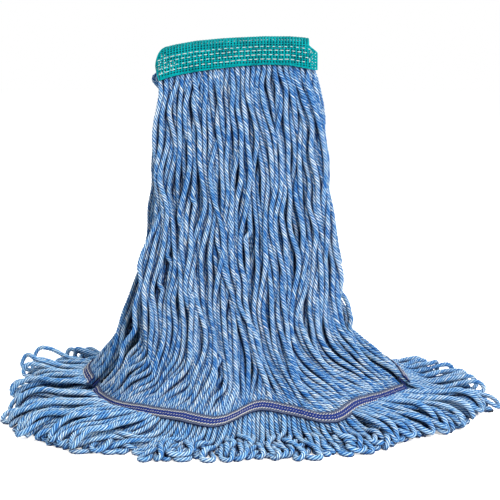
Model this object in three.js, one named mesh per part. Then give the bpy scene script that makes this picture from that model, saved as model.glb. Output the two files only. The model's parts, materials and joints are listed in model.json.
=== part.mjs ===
// Looped-end string mop head: folded mesh headband, two yarn flaps, tailbands and looped fringe.
// Millimetres, +Z up, origin on the floor under the middle of the bounding box.
// The headband runs along X; the front flap falls towards -Y, and left is -X on both flaps.
import * as THREE from 'three';
import { mergeVertices } from 'three/addons/utils/BufferGeometryUtils.js';

// ---- driving dimensions ----------------------------------------------------------------
const CENTRING_X = -0.096;          // shifts every piece so that the bounding box is centred
const CENTRING_Y = 25.273;
const GAP = 0.4;                    // clearance between neighbouring pieces of the headband

const BAND_LEFT = -104, BAND_RIGHT = 73;
const BAND_TOP = 404;               // top of the fold
const BAND_SHOULDER = 397;          // where the fold meets the front and rear panels
const BAND_BOTTOM = 374;            // lower edge of the panels
const BAND_HALF = 15;               // half thickness of the folded band
const BAND_CREST_X = 15;            // highest place along the band
const DROOP_LEFT = 12, DROOP_RIGHT = 3; // how far the band's ends hang below the crest
const LINING_INSET = 0.02;          // inner pieces stop short of each end, share of band length
const TAPE_THICKNESS = 1.4;
const PANEL_TOP = BAND_SHOULDER - GAP;
const PANEL_INNER_Y = BAND_HALF - TAPE_THICKNESS - 0.6; // inner face of the outer panel
const YARN_INNER_Y = 3.8;           // inner face of the yarn sandwiched in the band
const LINING_OUTER_Y = YARN_INNER_Y - GAP;
const LINING_THICKNESS = 1.1;

// heights of the stitch rows, from their depths below a line just under the top of the fold
const STITCH_ROWS = [8.2, 12.8, 17.4, 21.9].map((depth) => BAND_TOP - 0.5 - depth);
const CHANNEL_WIDTH = 1.5;          // channel that the thread beds into
const CHANNEL_FLOOR_Y = BAND_HALF - 0.9;

const HEM_GAP = 0.35, HEM_THICKNESS = 1.25; // strips across the ends of the band

const FLAP_THICKNESS = 12.5;
const HANKS = 7;                    // hanks per flap
const TAIL_HALF = 0.030;            // half width of the tailband, share of flap length
const TAIL_THICKNESS = 1.1;
const TAIL_FACE = FLAP_THICKNESS / 2 + 0.8; // near face of a tailband, from the flap's middle
const FLAP_END = 1 + TAIL_HALF;     // flap stations count 1 at the middle of the tailband

const FLAP_SHAPE = {
  edgePower: 2.2,                   // how late y turns from its middle to its edge value
  flareStart: 0.68,                 // share of length where the flap starts to fan out
  rightDelay: 0.07,                 // the right edge fans out later by this share
  flareSpeed: 300,                  // outward run in plan per unit of share
  sagStart: 0.78, sagRun: 0.2,      // share where the sag starts, and share it grows over
  droopFade: 1.6,                   // how fast the band's droop dies out down the flap
  turnStart: 0.02, turnRun: 0.1,    // where the thickness turns from level to square-on
};

// fringe sectors of a flap: limits across it (-1 left edge, 1 right edge) and piece count
const SECTORS = [
  { name: 'left', from: -1, to: -0.44, pieces: 2 },
  { name: 'middle', from: -0.42, to: 0.42, pieces: 3 },
  { name: 'right', from: 0.44, to: 1, pieces: 2 },
];
const FRINGE = {
  joint: 0.004,                     // inset across at every joint between pieces
  spread: 0.012,                    // extra inset at a sector's sides by the outer end
  topStart: 1.6, lowStart: 5.5,     // where top and underside start beyond the flap's end
  topRise: 0.5, lowDrop: 13,        // their heights there, above and below the flap's end
  liftedAbove: 14,                  // the underside lies on the floor unless the end is higher
  tipHeight: 12,
  pile: 12, pileStart: 0.42, pileRun: 0.2, // extra height towards the flap's sides
};

// ---- measured shape of the flaps -------------------------------------------------------
// stations down a flap: share of length, and height of the middle surface
const FLAP_SHARES = [0, 0.2, 0.4, 0.6, 0.78, 0.9, 1.0];
const FLAP_HEIGHTS = [373.3, 300, 227, 158, 99, 60, 30];
// stations across a flap, left to right
const ACROSS = Array.from({ length: 11 }, (_, i) => -1 + i * 0.2);

// leftX, rightX: edges at each share.  middleY, edgeY: y at each share, outwards positive.
// sag: drop at each station across.  tail, tips: [x, y] of tailband and fringe tips across.
const FLAPS = [
  {
    side: 'front',
    sign: -1,
    leftX: [-100, -102.5, -109, -119, -136, -155, -167],
    rightX: [70, 80, 89.5, 98, 107, 118, 166],
    middleY: [8.3, 17, 32, 55, 87, 122, 156],
    edgeY: [8.3, 15, 27, 42, 56, 68, 80],
    sag: [2, 3.2, 2.7, 2.2, 6.5, -2.7, 1, 4.3, -1, 0, 1],
    tail: [
      [-166, -84], [-142, -130], [-108, -152], [-72, -170], [-34, -180], [6, -156],
      [44, -163], [82, -172], [110, -142], [140, -108], [166, -74],
    ],
    tips: [
      [-268, -58], [-252, -130], [-205, -190], [-132, -222], [-56, -236], [0, -233],
      [56, -228], [112, -214], [168, -176], [234, -122], [270, -56],
    ],
  },
  {
    side: 'rear',
    sign: 1,
    leftX: [-100, -103.5, -110, -122, -149, -168, -178],
    rightX: [70, 79, 88, 98, 108, 122, 166],
    middleY: [8.3, 17, 31, 50, 76, 105, 138],
    edgeY: [8.3, 13, 17, 17, 8, -12, -40],
    sag: [0, 0, 1, 2, -1, 1, 3, 1, 0, 0, 0],
    tail: [
      [-172, -50], [-184, 5], [-166, 62], [-118, 106], [-60, 130], [0, 138],
      [58, 130], [112, 104], [150, 62], [166, 12], [170, -40],
    ],
    tips: [
      [-272, -28], [-270, 50], [-240, 116], [-165, 160], [-78, 180], [0, 186],
      [78, 180], [155, 160], [218, 108], [262, 42], [273, -28],
    ],
  },
];

const fabric = (look) => new THREE.MeshStandardMaterial({ ...look, metalness: 0 });
const MATERIALS = {
  tape: fabric({ color: 0x1a979d, roughness: 0.7 }),
  lining: fabric({ color: 0x147f86, roughness: 0.75 }),
  thread: fabric({ color: 0xe8e6de, roughness: 0.6 }),
  yarn: fabric({ color: 0x6487b0, roughness: 0.95 }),
  paleYarn: fabric({ color: 0x7593ba, roughness: 0.95 }),
  tailband: fabric({ color: 0x4d6198, roughness: 0.85 }),
};

// ---- helpers ---------------------------------------------------------------------------
const { clamp, lerp } = THREE.MathUtils;
const mix = (from, to, share) => from + (to - from) * share;
const point = (x, y, z) => new THREE.Vector3(x, y, z);

// eases from 0 to 1
function smooth(share) {
  const held = clamp(share, 0, 1);
  return held * held * (3 - 2 * held);
}

// cubic curve through the values at the stations, straight beyond the ends
function through(stations, values, at) {
  const last = stations.length - 1;
  const slope = (i) => {
    const before = Math.max(i - 1, 0), after = Math.min(i + 1, last);
    return (values[after] - values[before]) / (stations[after] - stations[before]);
  };
  if (at <= stations[0]) return values[0] + slope(0) * (at - stations[0]);
  if (at >= stations[last]) return values[last] + slope(last) * (at - stations[last]);
  let i = 0;
  while (at > stations[i + 1]) i += 1;
  const span = stations[i + 1] - stations[i];
  const part = (at - stations[i]) / span;
  const square = part * part, cube = square * part;
  return (2 * cube - 3 * square + 1) * values[i]
    + (cube - 2 * square + part) * span * slope(i)
    + (-2 * cube + 3 * square) * values[i + 1]
    + (cube - square) * span * slope(i + 1);
}
const planPoint = (table, across) => [0, 1].map(
  (axis) => through(ACROSS, table.map((entry) => entry[axis]), across),
);

// swaps the winding of a closed mesh whose faces point inwards
function faceOutwards(geometry) {
  const position = geometry.attributes.position;
  const index = geometry.index.array;
  const corners = [point(), point(), point()];
  let volume = 0;
  for (let i = 0; i < index.length; i += 3) {
    corners.forEach((corner, j) => corner.fromBufferAttribute(position, index[i + j]));
    volume += corners[0].dot(corners[1].cross(corners[2]));
  }
  if (volume >= 0) return;
  for (let i = 0; i < index.length; i += 3) {
    [index[i], index[i + 1]] = [index[i + 1], index[i]];
  }
}

// a unit box cut into cells, each corner moved by place(x, y, z) with x, y, z from 0 to 1
function bent(cellsX, cellsY, cellsZ, place) {
  const box = new THREE.BoxGeometry(1, 1, 1, cellsX, cellsY, cellsZ);
  box.deleteAttribute('normal');
  box.deleteAttribute('uv');
  const geometry = mergeVertices(box, 1e-6);
  const position = geometry.attributes.position;
  for (let i = 0; i < position.count; i += 1) {
    const placed = place(position.getX(i) + 0.5, position.getY(i) + 0.5, position.getZ(i) + 0.5);
    position.setXYZ(i, placed.x + CENTRING_X, placed.y + CENTRING_Y, placed.z);
  }
  faceOutwards(geometry);
  geometry.computeVertexNormals();
  return geometry;
}

const mop = new THREE.Group();
function add(name, material, geometry) {
  const mesh = new THREE.Mesh(geometry, MATERIALS[material]);
  mesh.name = name;
  mop.add(mesh);
}

// ---- headband --------------------------------------------------------------------------
function droop(x) {
  const [depth, end] = x < BAND_CREST_X ? [DROOP_LEFT, BAND_LEFT] : [DROOP_RIGHT, BAND_RIGHT];
  return depth * ((x - BAND_CREST_X) / (end - BAND_CREST_X)) ** 2;
}

// sweeps section(down, out) => [y, z] along the drooping band; inset is a share of its length
function addBandPiece(name, material, inset, rows, section) {
  add(name, material, bent(14, rows, 1, (along, down, out) => {
    const x = mix(BAND_LEFT, BAND_RIGHT, mix(inset, 1 - inset, along));
    const [y, z] = section(down, out);
    return point(x, y, z - droop(x));
  }));
}

// half-ellipse over the top from the front shoulder to the rear one, shrunk inwards by depth
function foldPoint(turn, depth) {
  const angle = Math.PI * turn;
  const rise = BAND_TOP - BAND_SHOULDER - depth;
  return [-(BAND_HALF - depth) * Math.cos(angle), BAND_SHOULDER + rise * Math.sin(angle)];
}

function addFold() {
  addBandPiece('headband_fold_outer', 'tape', 0, 10,
    (turn, out) => foldPoint(turn, TAPE_THICKNESS * (1 - out)));
  // yarn under the fold, with a flat underside
  addBandPiece('yarn_fold_core', 'yarn', LINING_INSET, 8, (turn, out) => {
    const [y, z] = foldPoint(mix(0.02, 0.98, turn), TAPE_THICKNESS + GAP);
    return [y, out < 0.5 ? BAND_SHOULDER + 0.05 : z];
  });
  addBandPiece('headband_fold_inner', 'lining', LINING_INSET, 1,
    (across, up) => [mix(-2.6, 2.6, across), PANEL_TOP - mix(1.3, 0, up)]);
}

// [z, outer y] down the outer panel, dipping into a channel at each stitch row
const CHANNEL_FLOOR_HALF = CHANNEL_WIDTH / 2 + 0.2;
const CHANNEL_MOUTH_HALF = CHANNEL_WIDTH / 2 + 0.35;
const PANEL_PROFILE = [
  [PANEL_TOP, BAND_HALF],
  ...STITCH_ROWS.flatMap((z) => [
    [z + CHANNEL_MOUTH_HALF, BAND_HALF],
    [z + CHANNEL_FLOOR_HALF, CHANNEL_FLOOR_Y],
    [z - CHANNEL_FLOOR_HALF, CHANNEL_FLOOR_Y],
    [z - CHANNEL_MOUTH_HALF, BAND_HALF],
  ]),
  [BAND_BOTTOM, BAND_HALF],
];

function addPanel({ side, sign }) {
  const steps = PANEL_PROFILE.length - 1;
  addBandPiece(`headband_panel_outer_${side}`, 'tape', 0, steps, (down, out) => {
    const [z, outerY] = PANEL_PROFILE[Math.round(down * steps)];
    return [sign * (out < 0.5 ? PANEL_INNER_Y : outerY), z];
  });
  addBandPiece(`yarn_in_band_${side}`, 'yarn', LINING_INSET, 1, (down, out) => [
    sign * mix(YARN_INNER_Y, PANEL_INNER_Y - GAP, out),
    mix(PANEL_TOP, BAND_BOTTOM, down),
  ]);
  addBandPiece(`headband_panel_inner_${side}`, 'lining', LINING_INSET, 1, (down, out) => [
    sign * mix(LINING_OUTER_Y - LINING_THICKNESS, LINING_OUTER_Y, out),
    mix(PANEL_TOP - 1.6, BAND_BOTTOM, down),
  ]);
  STITCH_ROWS.forEach((rowZ, i) => {
    addBandPiece(`stitch_row_${i + 1}_${side}`, 'thread', 0.035, 1, (up, out) => [
      sign * (CHANNEL_FLOOR_Y + mix(0.3, 0.85, out)),
      rowZ + (up - 0.5) * (CHANNEL_WIDTH - 0.3),
    ]);
  });
}

function addEndHem(side, sign, end, bandEnd, startX) {
  add(`end_hem_${end}_${side}`, 'tape', bent(1, 3, 1, (along, down, out) => point(
    startX + along * HEM_THICKNESS,
    sign * mix(BAND_HALF - 3.4, BAND_HALF - 0.2, out),
    mix(PANEL_TOP - 2, BAND_BOTTOM + 0.5, down) - droop(bandEnd),
  )));
}

// ---- flap surface ----------------------------------------------------------------------
// middle surface of a flap: across from -1 (left) to 1 (right), share down its length
function flapPoint(flap, across, share) {
  const shape = FLAP_SHAPE;
  const down = (values) => through(FLAP_SHARES, values, share);
  const hangX = mix(down(flap.leftX), down(flap.rightX), (across + 1) / 2);
  const edgeness = Math.abs(across) ** shape.edgePower;
  const hangY = flap.sign * mix(down(flap.middleY), down(flap.edgeY), edgeness);

  // lower down, blend into the fan that runs from the tailband towards the fringe tips
  const flareStart = shape.flareStart + shape.rightDelay * clamp(across, 0, 1) ** 2;
  const flare = smooth((share - flareStart) / (1 - flareStart));
  const [tailX, tailY] = planPoint(flap.tail, across);
  const [tipX, tipY] = planPoint(flap.tips, across);
  const run = (shape.flareSpeed * (share - 1)) / Math.hypot(tipX - tailX, tipY - tailY);
  const x = mix(hangX, mix(tailX, tipX, run), flare);
  const y = mix(hangY, mix(tailY, tipY, run), flare);

  const sag = through(ACROSS, flap.sag, across)
    * smooth((share - shape.sagStart) / shape.sagRun);
  const bandDroop = droop(x) * clamp(1 - shape.droopFade * share, 0, 1);
  return point(x, y, down(FLAP_HEIGHTS) - bandDroop - sag);
}

function flapNormal(flap, across, share) {
  const step = 0.01;
  const acrossRun = flapPoint(flap, across + step, share)
    .sub(flapPoint(flap, across - step, share));
  const downRun = flapPoint(flap, across, share + step)
    .sub(flapPoint(flap, across, share - step));
  return downRun.cross(acrossRun).normalize().multiplyScalar(-flap.sign);
}

// a point off the middle surface by a distance, outwards positive; level at the band
function flapAt(flap, across, share, distance) {
  const turn = smooth((share - FLAP_SHAPE.turnStart) / FLAP_SHAPE.turnRun);
  const direction = point(0, flap.sign * (1 - turn), 0)
    .addScaledVector(flapNormal(flap, across, share), turn)
    .normalize();
  return flapPoint(flap, across, share).addScaledVector(direction, distance);
}

// ---- yarn hanks, tailbands and fringe --------------------------------------------------
function addHank(flap, i) {
  const left = -1 + (2 * i) / HANKS, right = -1 + (2 * (i + 1)) / HANKS;
  const geometry = bent(3, 14, 2, (width, down, out) => {
    const share = FLAP_END * down;
    const inset = 0.006 + 0.004 * share;
    const across = mix(
      i === 0 ? left : left + inset,
      i === HANKS - 1 ? right : right - inset,
      width,
    );
    // thinner at its sides, so that each hank reads as rounded
    const thinning = 1.6 * 4 * (width - 0.5) ** 2 * smooth(share * 6);
    return flapAt(flap, across, share, (out - 0.5) * (FLAP_THICKNESS - thinning));
  });
  add(`yarn_hank_${i + 1}_${flap.side}`, i % 2 ? 'paleYarn' : 'yarn', geometry);
}

// a strip across the flap's foot; top and bottom are in tailband half widths
function addTailStrip(flap, { part, material, top, bottom, face, thickness }) {
  add(`tailband_${part}_${flap.side}`, material,
    bent(3 * HANKS, 1, 1, (width, down, out) => flapAt(
      flap,
      mix(-1, 1, width),
      1 + TAIL_HALF * mix(top, bottom, down),
      face + thickness * out,
    )));
}

function addTailband(flap) {
  const tape = { material: 'tailband', top: -1, bottom: 0.9 };
  addTailStrip(flap, { ...tape, part: 'outer', face: TAIL_FACE, thickness: TAIL_THICKNESS });
  addTailStrip(flap, { ...tape, part: 'inner', face: -TAIL_FACE, thickness: -TAIL_THICKNESS });
  addTailStrip(flap, {
    part: 'thread',
    material: 'thread',
    top: -0.35,
    bottom: 0.35,
    face: TAIL_FACE + TAIL_THICKNESS + 0.75,
    thickness: 0.6,
  });
}

function addFringePiece(flap, sector, i) {
  const { name, from, to, pieces } = sector;
  const left = mix(from, to, i / pieces), right = mix(from, to, (i + 1) / pieces);
  const geometry = bent(5, 6, 1, (width, run, up) => {
    // gaps between sectors widen outwards; the flap's own edges have no inset
    const sideInset = FRINGE.joint + FRINGE.spread * run;
    const outerLeft = from > -1 ? sideInset : 0;
    const outerRight = to < 1 ? sideInset : 0;
    const low = left + (i === 0 ? outerLeft : FRINGE.joint);
    const high = right - (i === pieces - 1 ? outerRight : FRINGE.joint);
    const across = mix(low, high, width);

    const foot = flapAt(flap, across, FLAP_END, FLAP_THICKNESS / 2);
    const [tipX, tipY] = planPoint(flap.tips, across);
    const reach = Math.hypot(tipX - foot.x, tipY - foot.y);
    const under = up < 0.5;
    const along = mix((under ? FRINGE.lowStart : FRINGE.topStart) / reach, 1, run);

    const pile = FRINGE.pile * Math.sin(Math.PI * run)
      * smooth((Math.abs(across) - FRINGE.pileStart) / FRINGE.pileRun);
    const top = mix(foot.z + FRINGE.topRise, FRINGE.tipHeight, smooth(run)) + pile;
    const underside = foot.z > FRINGE.liftedAbove
      ? mix(foot.z - FRINGE.lowDrop, 0, smooth(run * 3)) : 0;
    return point(mix(foot.x, tipX, along), mix(foot.y, tipY, along), under ? underside : top);
  });
  add(`fringe_${name}_${i + 1}_${flap.side}`, i % 2 ? 'yarn' : 'paleYarn', geometry);
}

// ---- assembly --------------------------------------------------------------------------
addFold();
for (const flap of FLAPS) {
  addPanel(flap);
  addEndHem(flap.side, flap.sign, 'left', BAND_LEFT, BAND_LEFT - HEM_GAP - HEM_THICKNESS);
  addEndHem(flap.side, flap.sign, 'right', BAND_RIGHT, BAND_RIGHT + HEM_GAP);
}
for (const flap of FLAPS) {
  for (let i = 0; i < HANKS; i += 1) addHank(flap, i);
  addTailband(flap);
  for (const sector of SECTORS) {
    for (let i = 0; i < sector.pieces; i += 1) addFringePiece(flap, sector, i);
  }
}

export default mop;
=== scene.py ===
# A looped-end mop head, draped open and resting on the floor.
# The teal headband runs along X at the top. Blue cords hang from it in a front flap (-Y) and
# a rear flap (+Y). A tailband crosses each flap near the floor, and the cords go on beyond it
# as a fringe of loops. Z is up, the floor is z = 0, and left is -X.
# Shapes are in millimetres in the design's own axes; ORIGIN moves them onto the frame.
import json
import math
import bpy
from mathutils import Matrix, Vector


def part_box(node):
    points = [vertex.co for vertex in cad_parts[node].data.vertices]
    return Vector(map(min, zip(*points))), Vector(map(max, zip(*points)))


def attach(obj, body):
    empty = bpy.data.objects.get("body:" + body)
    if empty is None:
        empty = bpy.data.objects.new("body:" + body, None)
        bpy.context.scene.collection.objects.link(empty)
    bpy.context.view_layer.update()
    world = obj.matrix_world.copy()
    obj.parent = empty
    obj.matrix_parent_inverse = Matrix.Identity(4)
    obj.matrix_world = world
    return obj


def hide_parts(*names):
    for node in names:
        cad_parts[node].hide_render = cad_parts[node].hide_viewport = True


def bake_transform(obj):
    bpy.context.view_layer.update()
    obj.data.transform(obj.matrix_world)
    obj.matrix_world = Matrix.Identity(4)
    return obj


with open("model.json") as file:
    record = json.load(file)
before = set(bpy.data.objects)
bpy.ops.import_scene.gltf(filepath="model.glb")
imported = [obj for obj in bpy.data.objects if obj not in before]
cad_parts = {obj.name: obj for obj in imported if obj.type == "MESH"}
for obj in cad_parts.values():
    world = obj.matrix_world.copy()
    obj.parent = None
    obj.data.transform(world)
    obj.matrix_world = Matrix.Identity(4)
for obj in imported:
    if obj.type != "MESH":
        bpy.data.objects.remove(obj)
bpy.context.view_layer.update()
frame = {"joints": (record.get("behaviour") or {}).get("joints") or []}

from types import SimpleNamespace as Flap

import bpy
import numpy as np
from mathutils import Vector

BAND_MIDDLE = -15.5      # x of the middle of the headband in the design
fold_low, fold_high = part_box("headband_fold_outer")
ORIGIN = np.array([1000 * (fold_low[0] + fold_high[0]) / 2 - BAND_MIDDLE,
                   1000 * (fold_low[1] + fold_high[1]) / 2, 0.0])
ORIGIN_X, ORIGIN_Y = ORIGIN[0] / 1000, ORIGIN[1] / 1000      # metres

# ---- Cords -------------------------------------------------------------------------------
CORD_R = 2.85
PLIES = 5
TWIST = -2 * math.pi / 19.5      # the plies make one full turn in 19.5 mm
CORDS = 84                       # cords per flap
GROUPS = 4                       # flap objects per side
GROUP_CORDS = CORDS // GROUPS
PATH_POINTS = 60                 # points on a flap cord while it is laid
LOOP_POINTS = 50                 # points on a fringe loop
PLACES = (np.arange(CORDS) + 0.5) / CORDS * 2 - 1      # cords across a flap, -1 left to 1 right

# ---- Flap shapes -------------------------------------------------------------------------
# A place on a flap is (across, down): across -1..1 from left to right, down 0 at the headband
# and 1 at the tailband.
FLAP_LENGTH = 392.0
FLARE = 300.0            # run per unit of down, outwards past the tailband
DOWN = [0, 0.2, 0.4, 0.6, 0.78, 0.9, 1.0]
HEIGHTS = [373.3, 300, 227, 158, 99, 60, 30]           # z at DOWN
HALF_WIDTHS = [86, 89, 98, 112, 140, 178, 222.0]       # half the flap along its curve, at DOWN
ACROSS = np.linspace(-1, 1, 11)

# At DOWN: left and right are the x of the edges, y_middle and y_end the distance from y = 0
# at the middle and at the edges. At ACROSS: sag lowers the foot, tail is the tailband's (x, y)
# and outer the rim of the fringe. partings: (across, down start, down end, half width mm).
# hinges: mm from each fringe joint to its bend, left, middle, right.
# pile: heights of the fringe in its three layers, top first.
FRONT = Flap(
    name="front", sign=-1, lay_seed=11, loop_seed=5, cord_seed=100, first_uid=0, cord_step=2.3,
    first_fringe=4, stitch_seed=21, ripple_seed=70, tip_lean=0.10, corner_lean=-0.03,
    pile=((17, 33), (7, 19), (0, 7)), hinges=(9, 13, 2),
    left=[-100, -102.5, -109, -119, -136, -155, -167],
    right=[70, 80, 89.5, 98, 107, 118, 166],
    y_middle=[8.3, 17, 32, 55, 87, 122, 156],
    y_end=[8.3, 15, 27, 42, 56, 68, 80],
    sag=[2, 3.2, 2.7, 2.2, 6.5, -2.7, 1, 4.3, -1, 0, 1],
    tail=[[-166, -84], [-142, -130], [-108, -152], [-72, -170], [-34, -180], [6, -156],
          [44, -163], [82, -172], [110, -142], [140, -108], [166, -74]],
    outer=[[-268, -58], [-252, -130], [-205, -190], [-132, -222], [-56, -236], [0, -233],
           [56, -228], [112, -214], [168, -176], [234, -122], [270, -56]],
    partings=[(-0.235, 0.80, 0.985, 4.5), (-0.045, 0.70, 0.975, 4.0), (0.30, 0.78, 0.95, 2.5),
              (0.62, 0.66, 0.90, 2.5), (-0.55, 0.25, 0.50, 2.2), (-0.12, 0.12, 0.38, 2.4),
              (0.42, 0.20, 0.46, 2.2), (0.10, 0.42, 0.66, 2.6), (-0.72, 0.50, 0.74, 2.6)])
REAR = Flap(
    name="rear", sign=1, lay_seed=47, loop_seed=9, cord_seed=150, first_uid=200, cord_step=2.6,
    first_fringe=11, stitch_seed=22, ripple_seed=75, tip_lean=0.0, corner_lean=0.02,
    pile=((16, 34), (7, 20), (0, 8)), hinges=(16, 20, 10),
    left=[-100, -103.5, -110, -122, -149, -168, -178],
    right=[70, 79, 88, 98, 108, 122, 166],
    y_middle=[8.3, 17, 31, 50, 76, 105, 138],
    y_end=[8.3, 13, 17, 17, 8, -12, -40],
    sag=[0, 0, 1, 2, -1, 1, 3, 1, 0, 0, 0],
    tail=[[-172, -50], [-184, 5], [-166, 62], [-118, 106], [-60, 130], [0, 138],
          [58, 130], [112, 104], [150, 62], [166, 12], [170, -40]],
    outer=[[-272, -28], [-270, 50], [-240, 116], [-165, 160], [-78, 180], [0, 186],
           [78, 180], [155, 160], [218, 108], [262, 42], [273, -28]],
    partings=[(-0.4, 0.70, 0.96, 3.5), (0.15, 0.74, 0.97, 3.5), (0.55, 0.5, 0.8, 2.8),
              (-0.1, 0.2, 0.5, 2.4), (0.5, 0.15, 0.4, 2.2), (-0.6, 0.2, 0.45, 2.2)])
FLAPS = (FRONT, REAR)

# where a front cord runs at four fifths of the way down, against its place at the foot
SWEEP_FOOT = [-1, -0.9, -0.75, -0.6, -0.45, -0.3, -0.15, 0.0, 0.25, 0.5, 0.75, 1.0]
SWEEP_MID = [-0.985, -0.83, -0.60, -0.43, -0.31, -0.215, -0.115, 0.0, 0.20, 0.42, 0.68, 0.985]


def through(stations, values, at):
    """Cubic curve through stations, straight beyond the ends."""
    stations, values, at = (np.asarray(data, float) for data in (stations, values, at))
    slope = np.empty(len(stations))
    slope[0] = (values[1] - values[0]) / (stations[1] - stations[0])
    slope[-1] = (values[-1] - values[-2]) / (stations[-1] - stations[-2])
    slope[1:-1] = (values[2:] - values[:-2]) / (stations[2:] - stations[:-2])
    i = np.clip(np.searchsorted(stations, at, side="right") - 1, 0, len(stations) - 2)
    span = stations[i + 1] - stations[i]
    k = np.clip((at - stations[i]) / span, 0, 1)
    k2, k3 = k * k, k ** 3
    curve = ((2 * k3 - 3 * k2 + 1) * values[i] + (k3 - 2 * k2 + k) * span * slope[i]
             + (-2 * k3 + 3 * k2) * values[i + 1] + (k3 - k2) * span * slope[i + 1])
    curve = np.where(at < stations[0], values[0] + slope[0] * (at - stations[0]), curve)
    return np.where(at > stations[-1], values[-1] + slope[-1] * (at - stations[-1]), curve)


def outline(table, across):
    """x and y of a flap's tail or outer table."""
    table = np.asarray(table, float)
    return through(ACROSS, table[:, 0], across), through(ACROSS, table[:, 1], across)


def smooth(k):
    k = np.clip(k, 0, 1)
    return k * k * (3 - 2 * k)


def bell(k):
    return np.exp(-k ** 2)


def droop(x):
    """How far the headband's lower edge falls away to either side of x = 15."""
    return np.where(x < 15, 12 * ((15 - x) / 119.0) ** 2, 3 * ((x - 15) / 58.0) ** 2)


def flap_point(flap, across, down):
    across, down = np.broadcast_arrays(np.asarray(across, float), np.asarray(down, float))
    left, right = through(DOWN, flap.left, down), through(DOWN, flap.right, down)
    x_hang = left + (right - left) * (across + 1) / 2
    y_middle, y_end = through(DOWN, flap.y_middle, down), through(DOWN, flap.y_end, down)
    bow = np.minimum(np.abs(across), 1.0) ** 2.2
    y_hang = flap.sign * (y_middle + (y_end - y_middle) * bow)
    # towards the foot the hanging sheet turns into the flare; the right side turns later
    late = 0.07 * np.clip(across, 0, 1) ** 2
    spread = smooth((down - 0.68 - late) / (0.32 - late))
    tail_x, tail_y = outline(flap.tail, across)
    rim_x, rim_y = outline(flap.outer, across)
    run = FLARE * (down - 1) / np.hypot(rim_x - tail_x, rim_y - tail_y)
    x = x_hang + (tail_x + (rim_x - tail_x) * run - x_hang) * spread
    y = y_hang + (tail_y + (rim_y - tail_y) * run - y_hang) * spread
    z = (through(DOWN, HEIGHTS, down) - droop(x) * np.clip(1 - 1.6 * down, 0, 1)
         - through(ACROSS, flap.sag, across) * smooth((down - 0.78) / 0.2))
    return np.stack([x, y, z], -1)


def unit(vectors):
    return vectors / np.linalg.norm(vectors, axis=-1, keepdims=True)


def flap_normal(flap, across, down):
    """Outward normal of the flap; at the headband it is level, along Y."""
    across, down = np.broadcast_arrays(np.asarray(across, float), np.asarray(down, float))
    step = 0.01
    over = flap_point(flap, across + step, down) - flap_point(flap, across - step, down)
    fall = flap_point(flap, across, down + step) - flap_point(flap, across, down - step)
    normal = unit(np.cross(fall, over))
    if flap.sign > 0:
        normal = -normal
    level = np.zeros_like(normal)
    level[..., 1] = flap.sign
    k = smooth((down - 0.02) / 0.1)[..., None]
    return unit(normal * k + level * (1 - k))


class Noise:
    """Smooth repeatable noise in one or two dimensions, from seeded sine sums."""

    def __init__(self, seed, count, low, high):
        draw = np.random.RandomState(seed)
        self.waves = draw.uniform(low, high, (count, 2)) * draw.choice([-1, 1], (count, 2))
        self.phases = draw.uniform(0, 2 * math.pi, count)
        self.sizes = draw.uniform(0.5, 1.0, count)
        self.sizes /= np.sqrt((self.sizes ** 2).sum() / 2)

    def __call__(self, x, y=0.0):
        x, y = np.broadcast_arrays(np.asarray(x, float), np.asarray(y, float))
        value = np.zeros(x.shape)
        for (wave_x, wave_y), phase, size in zip(self.waves, self.phases, self.sizes):
            value = value + size * np.sin(wave_x * x + wave_y * y + phase)
        return value


def bends(paths):
    """How far each inner point is from the middle of its neighbours."""
    bend = np.zeros_like(paths)
    bend[:, 1:-1] = 0.5 * (paths[:, :-2] + paths[:, 2:]) - paths[:, 1:-1]
    return bend


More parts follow.
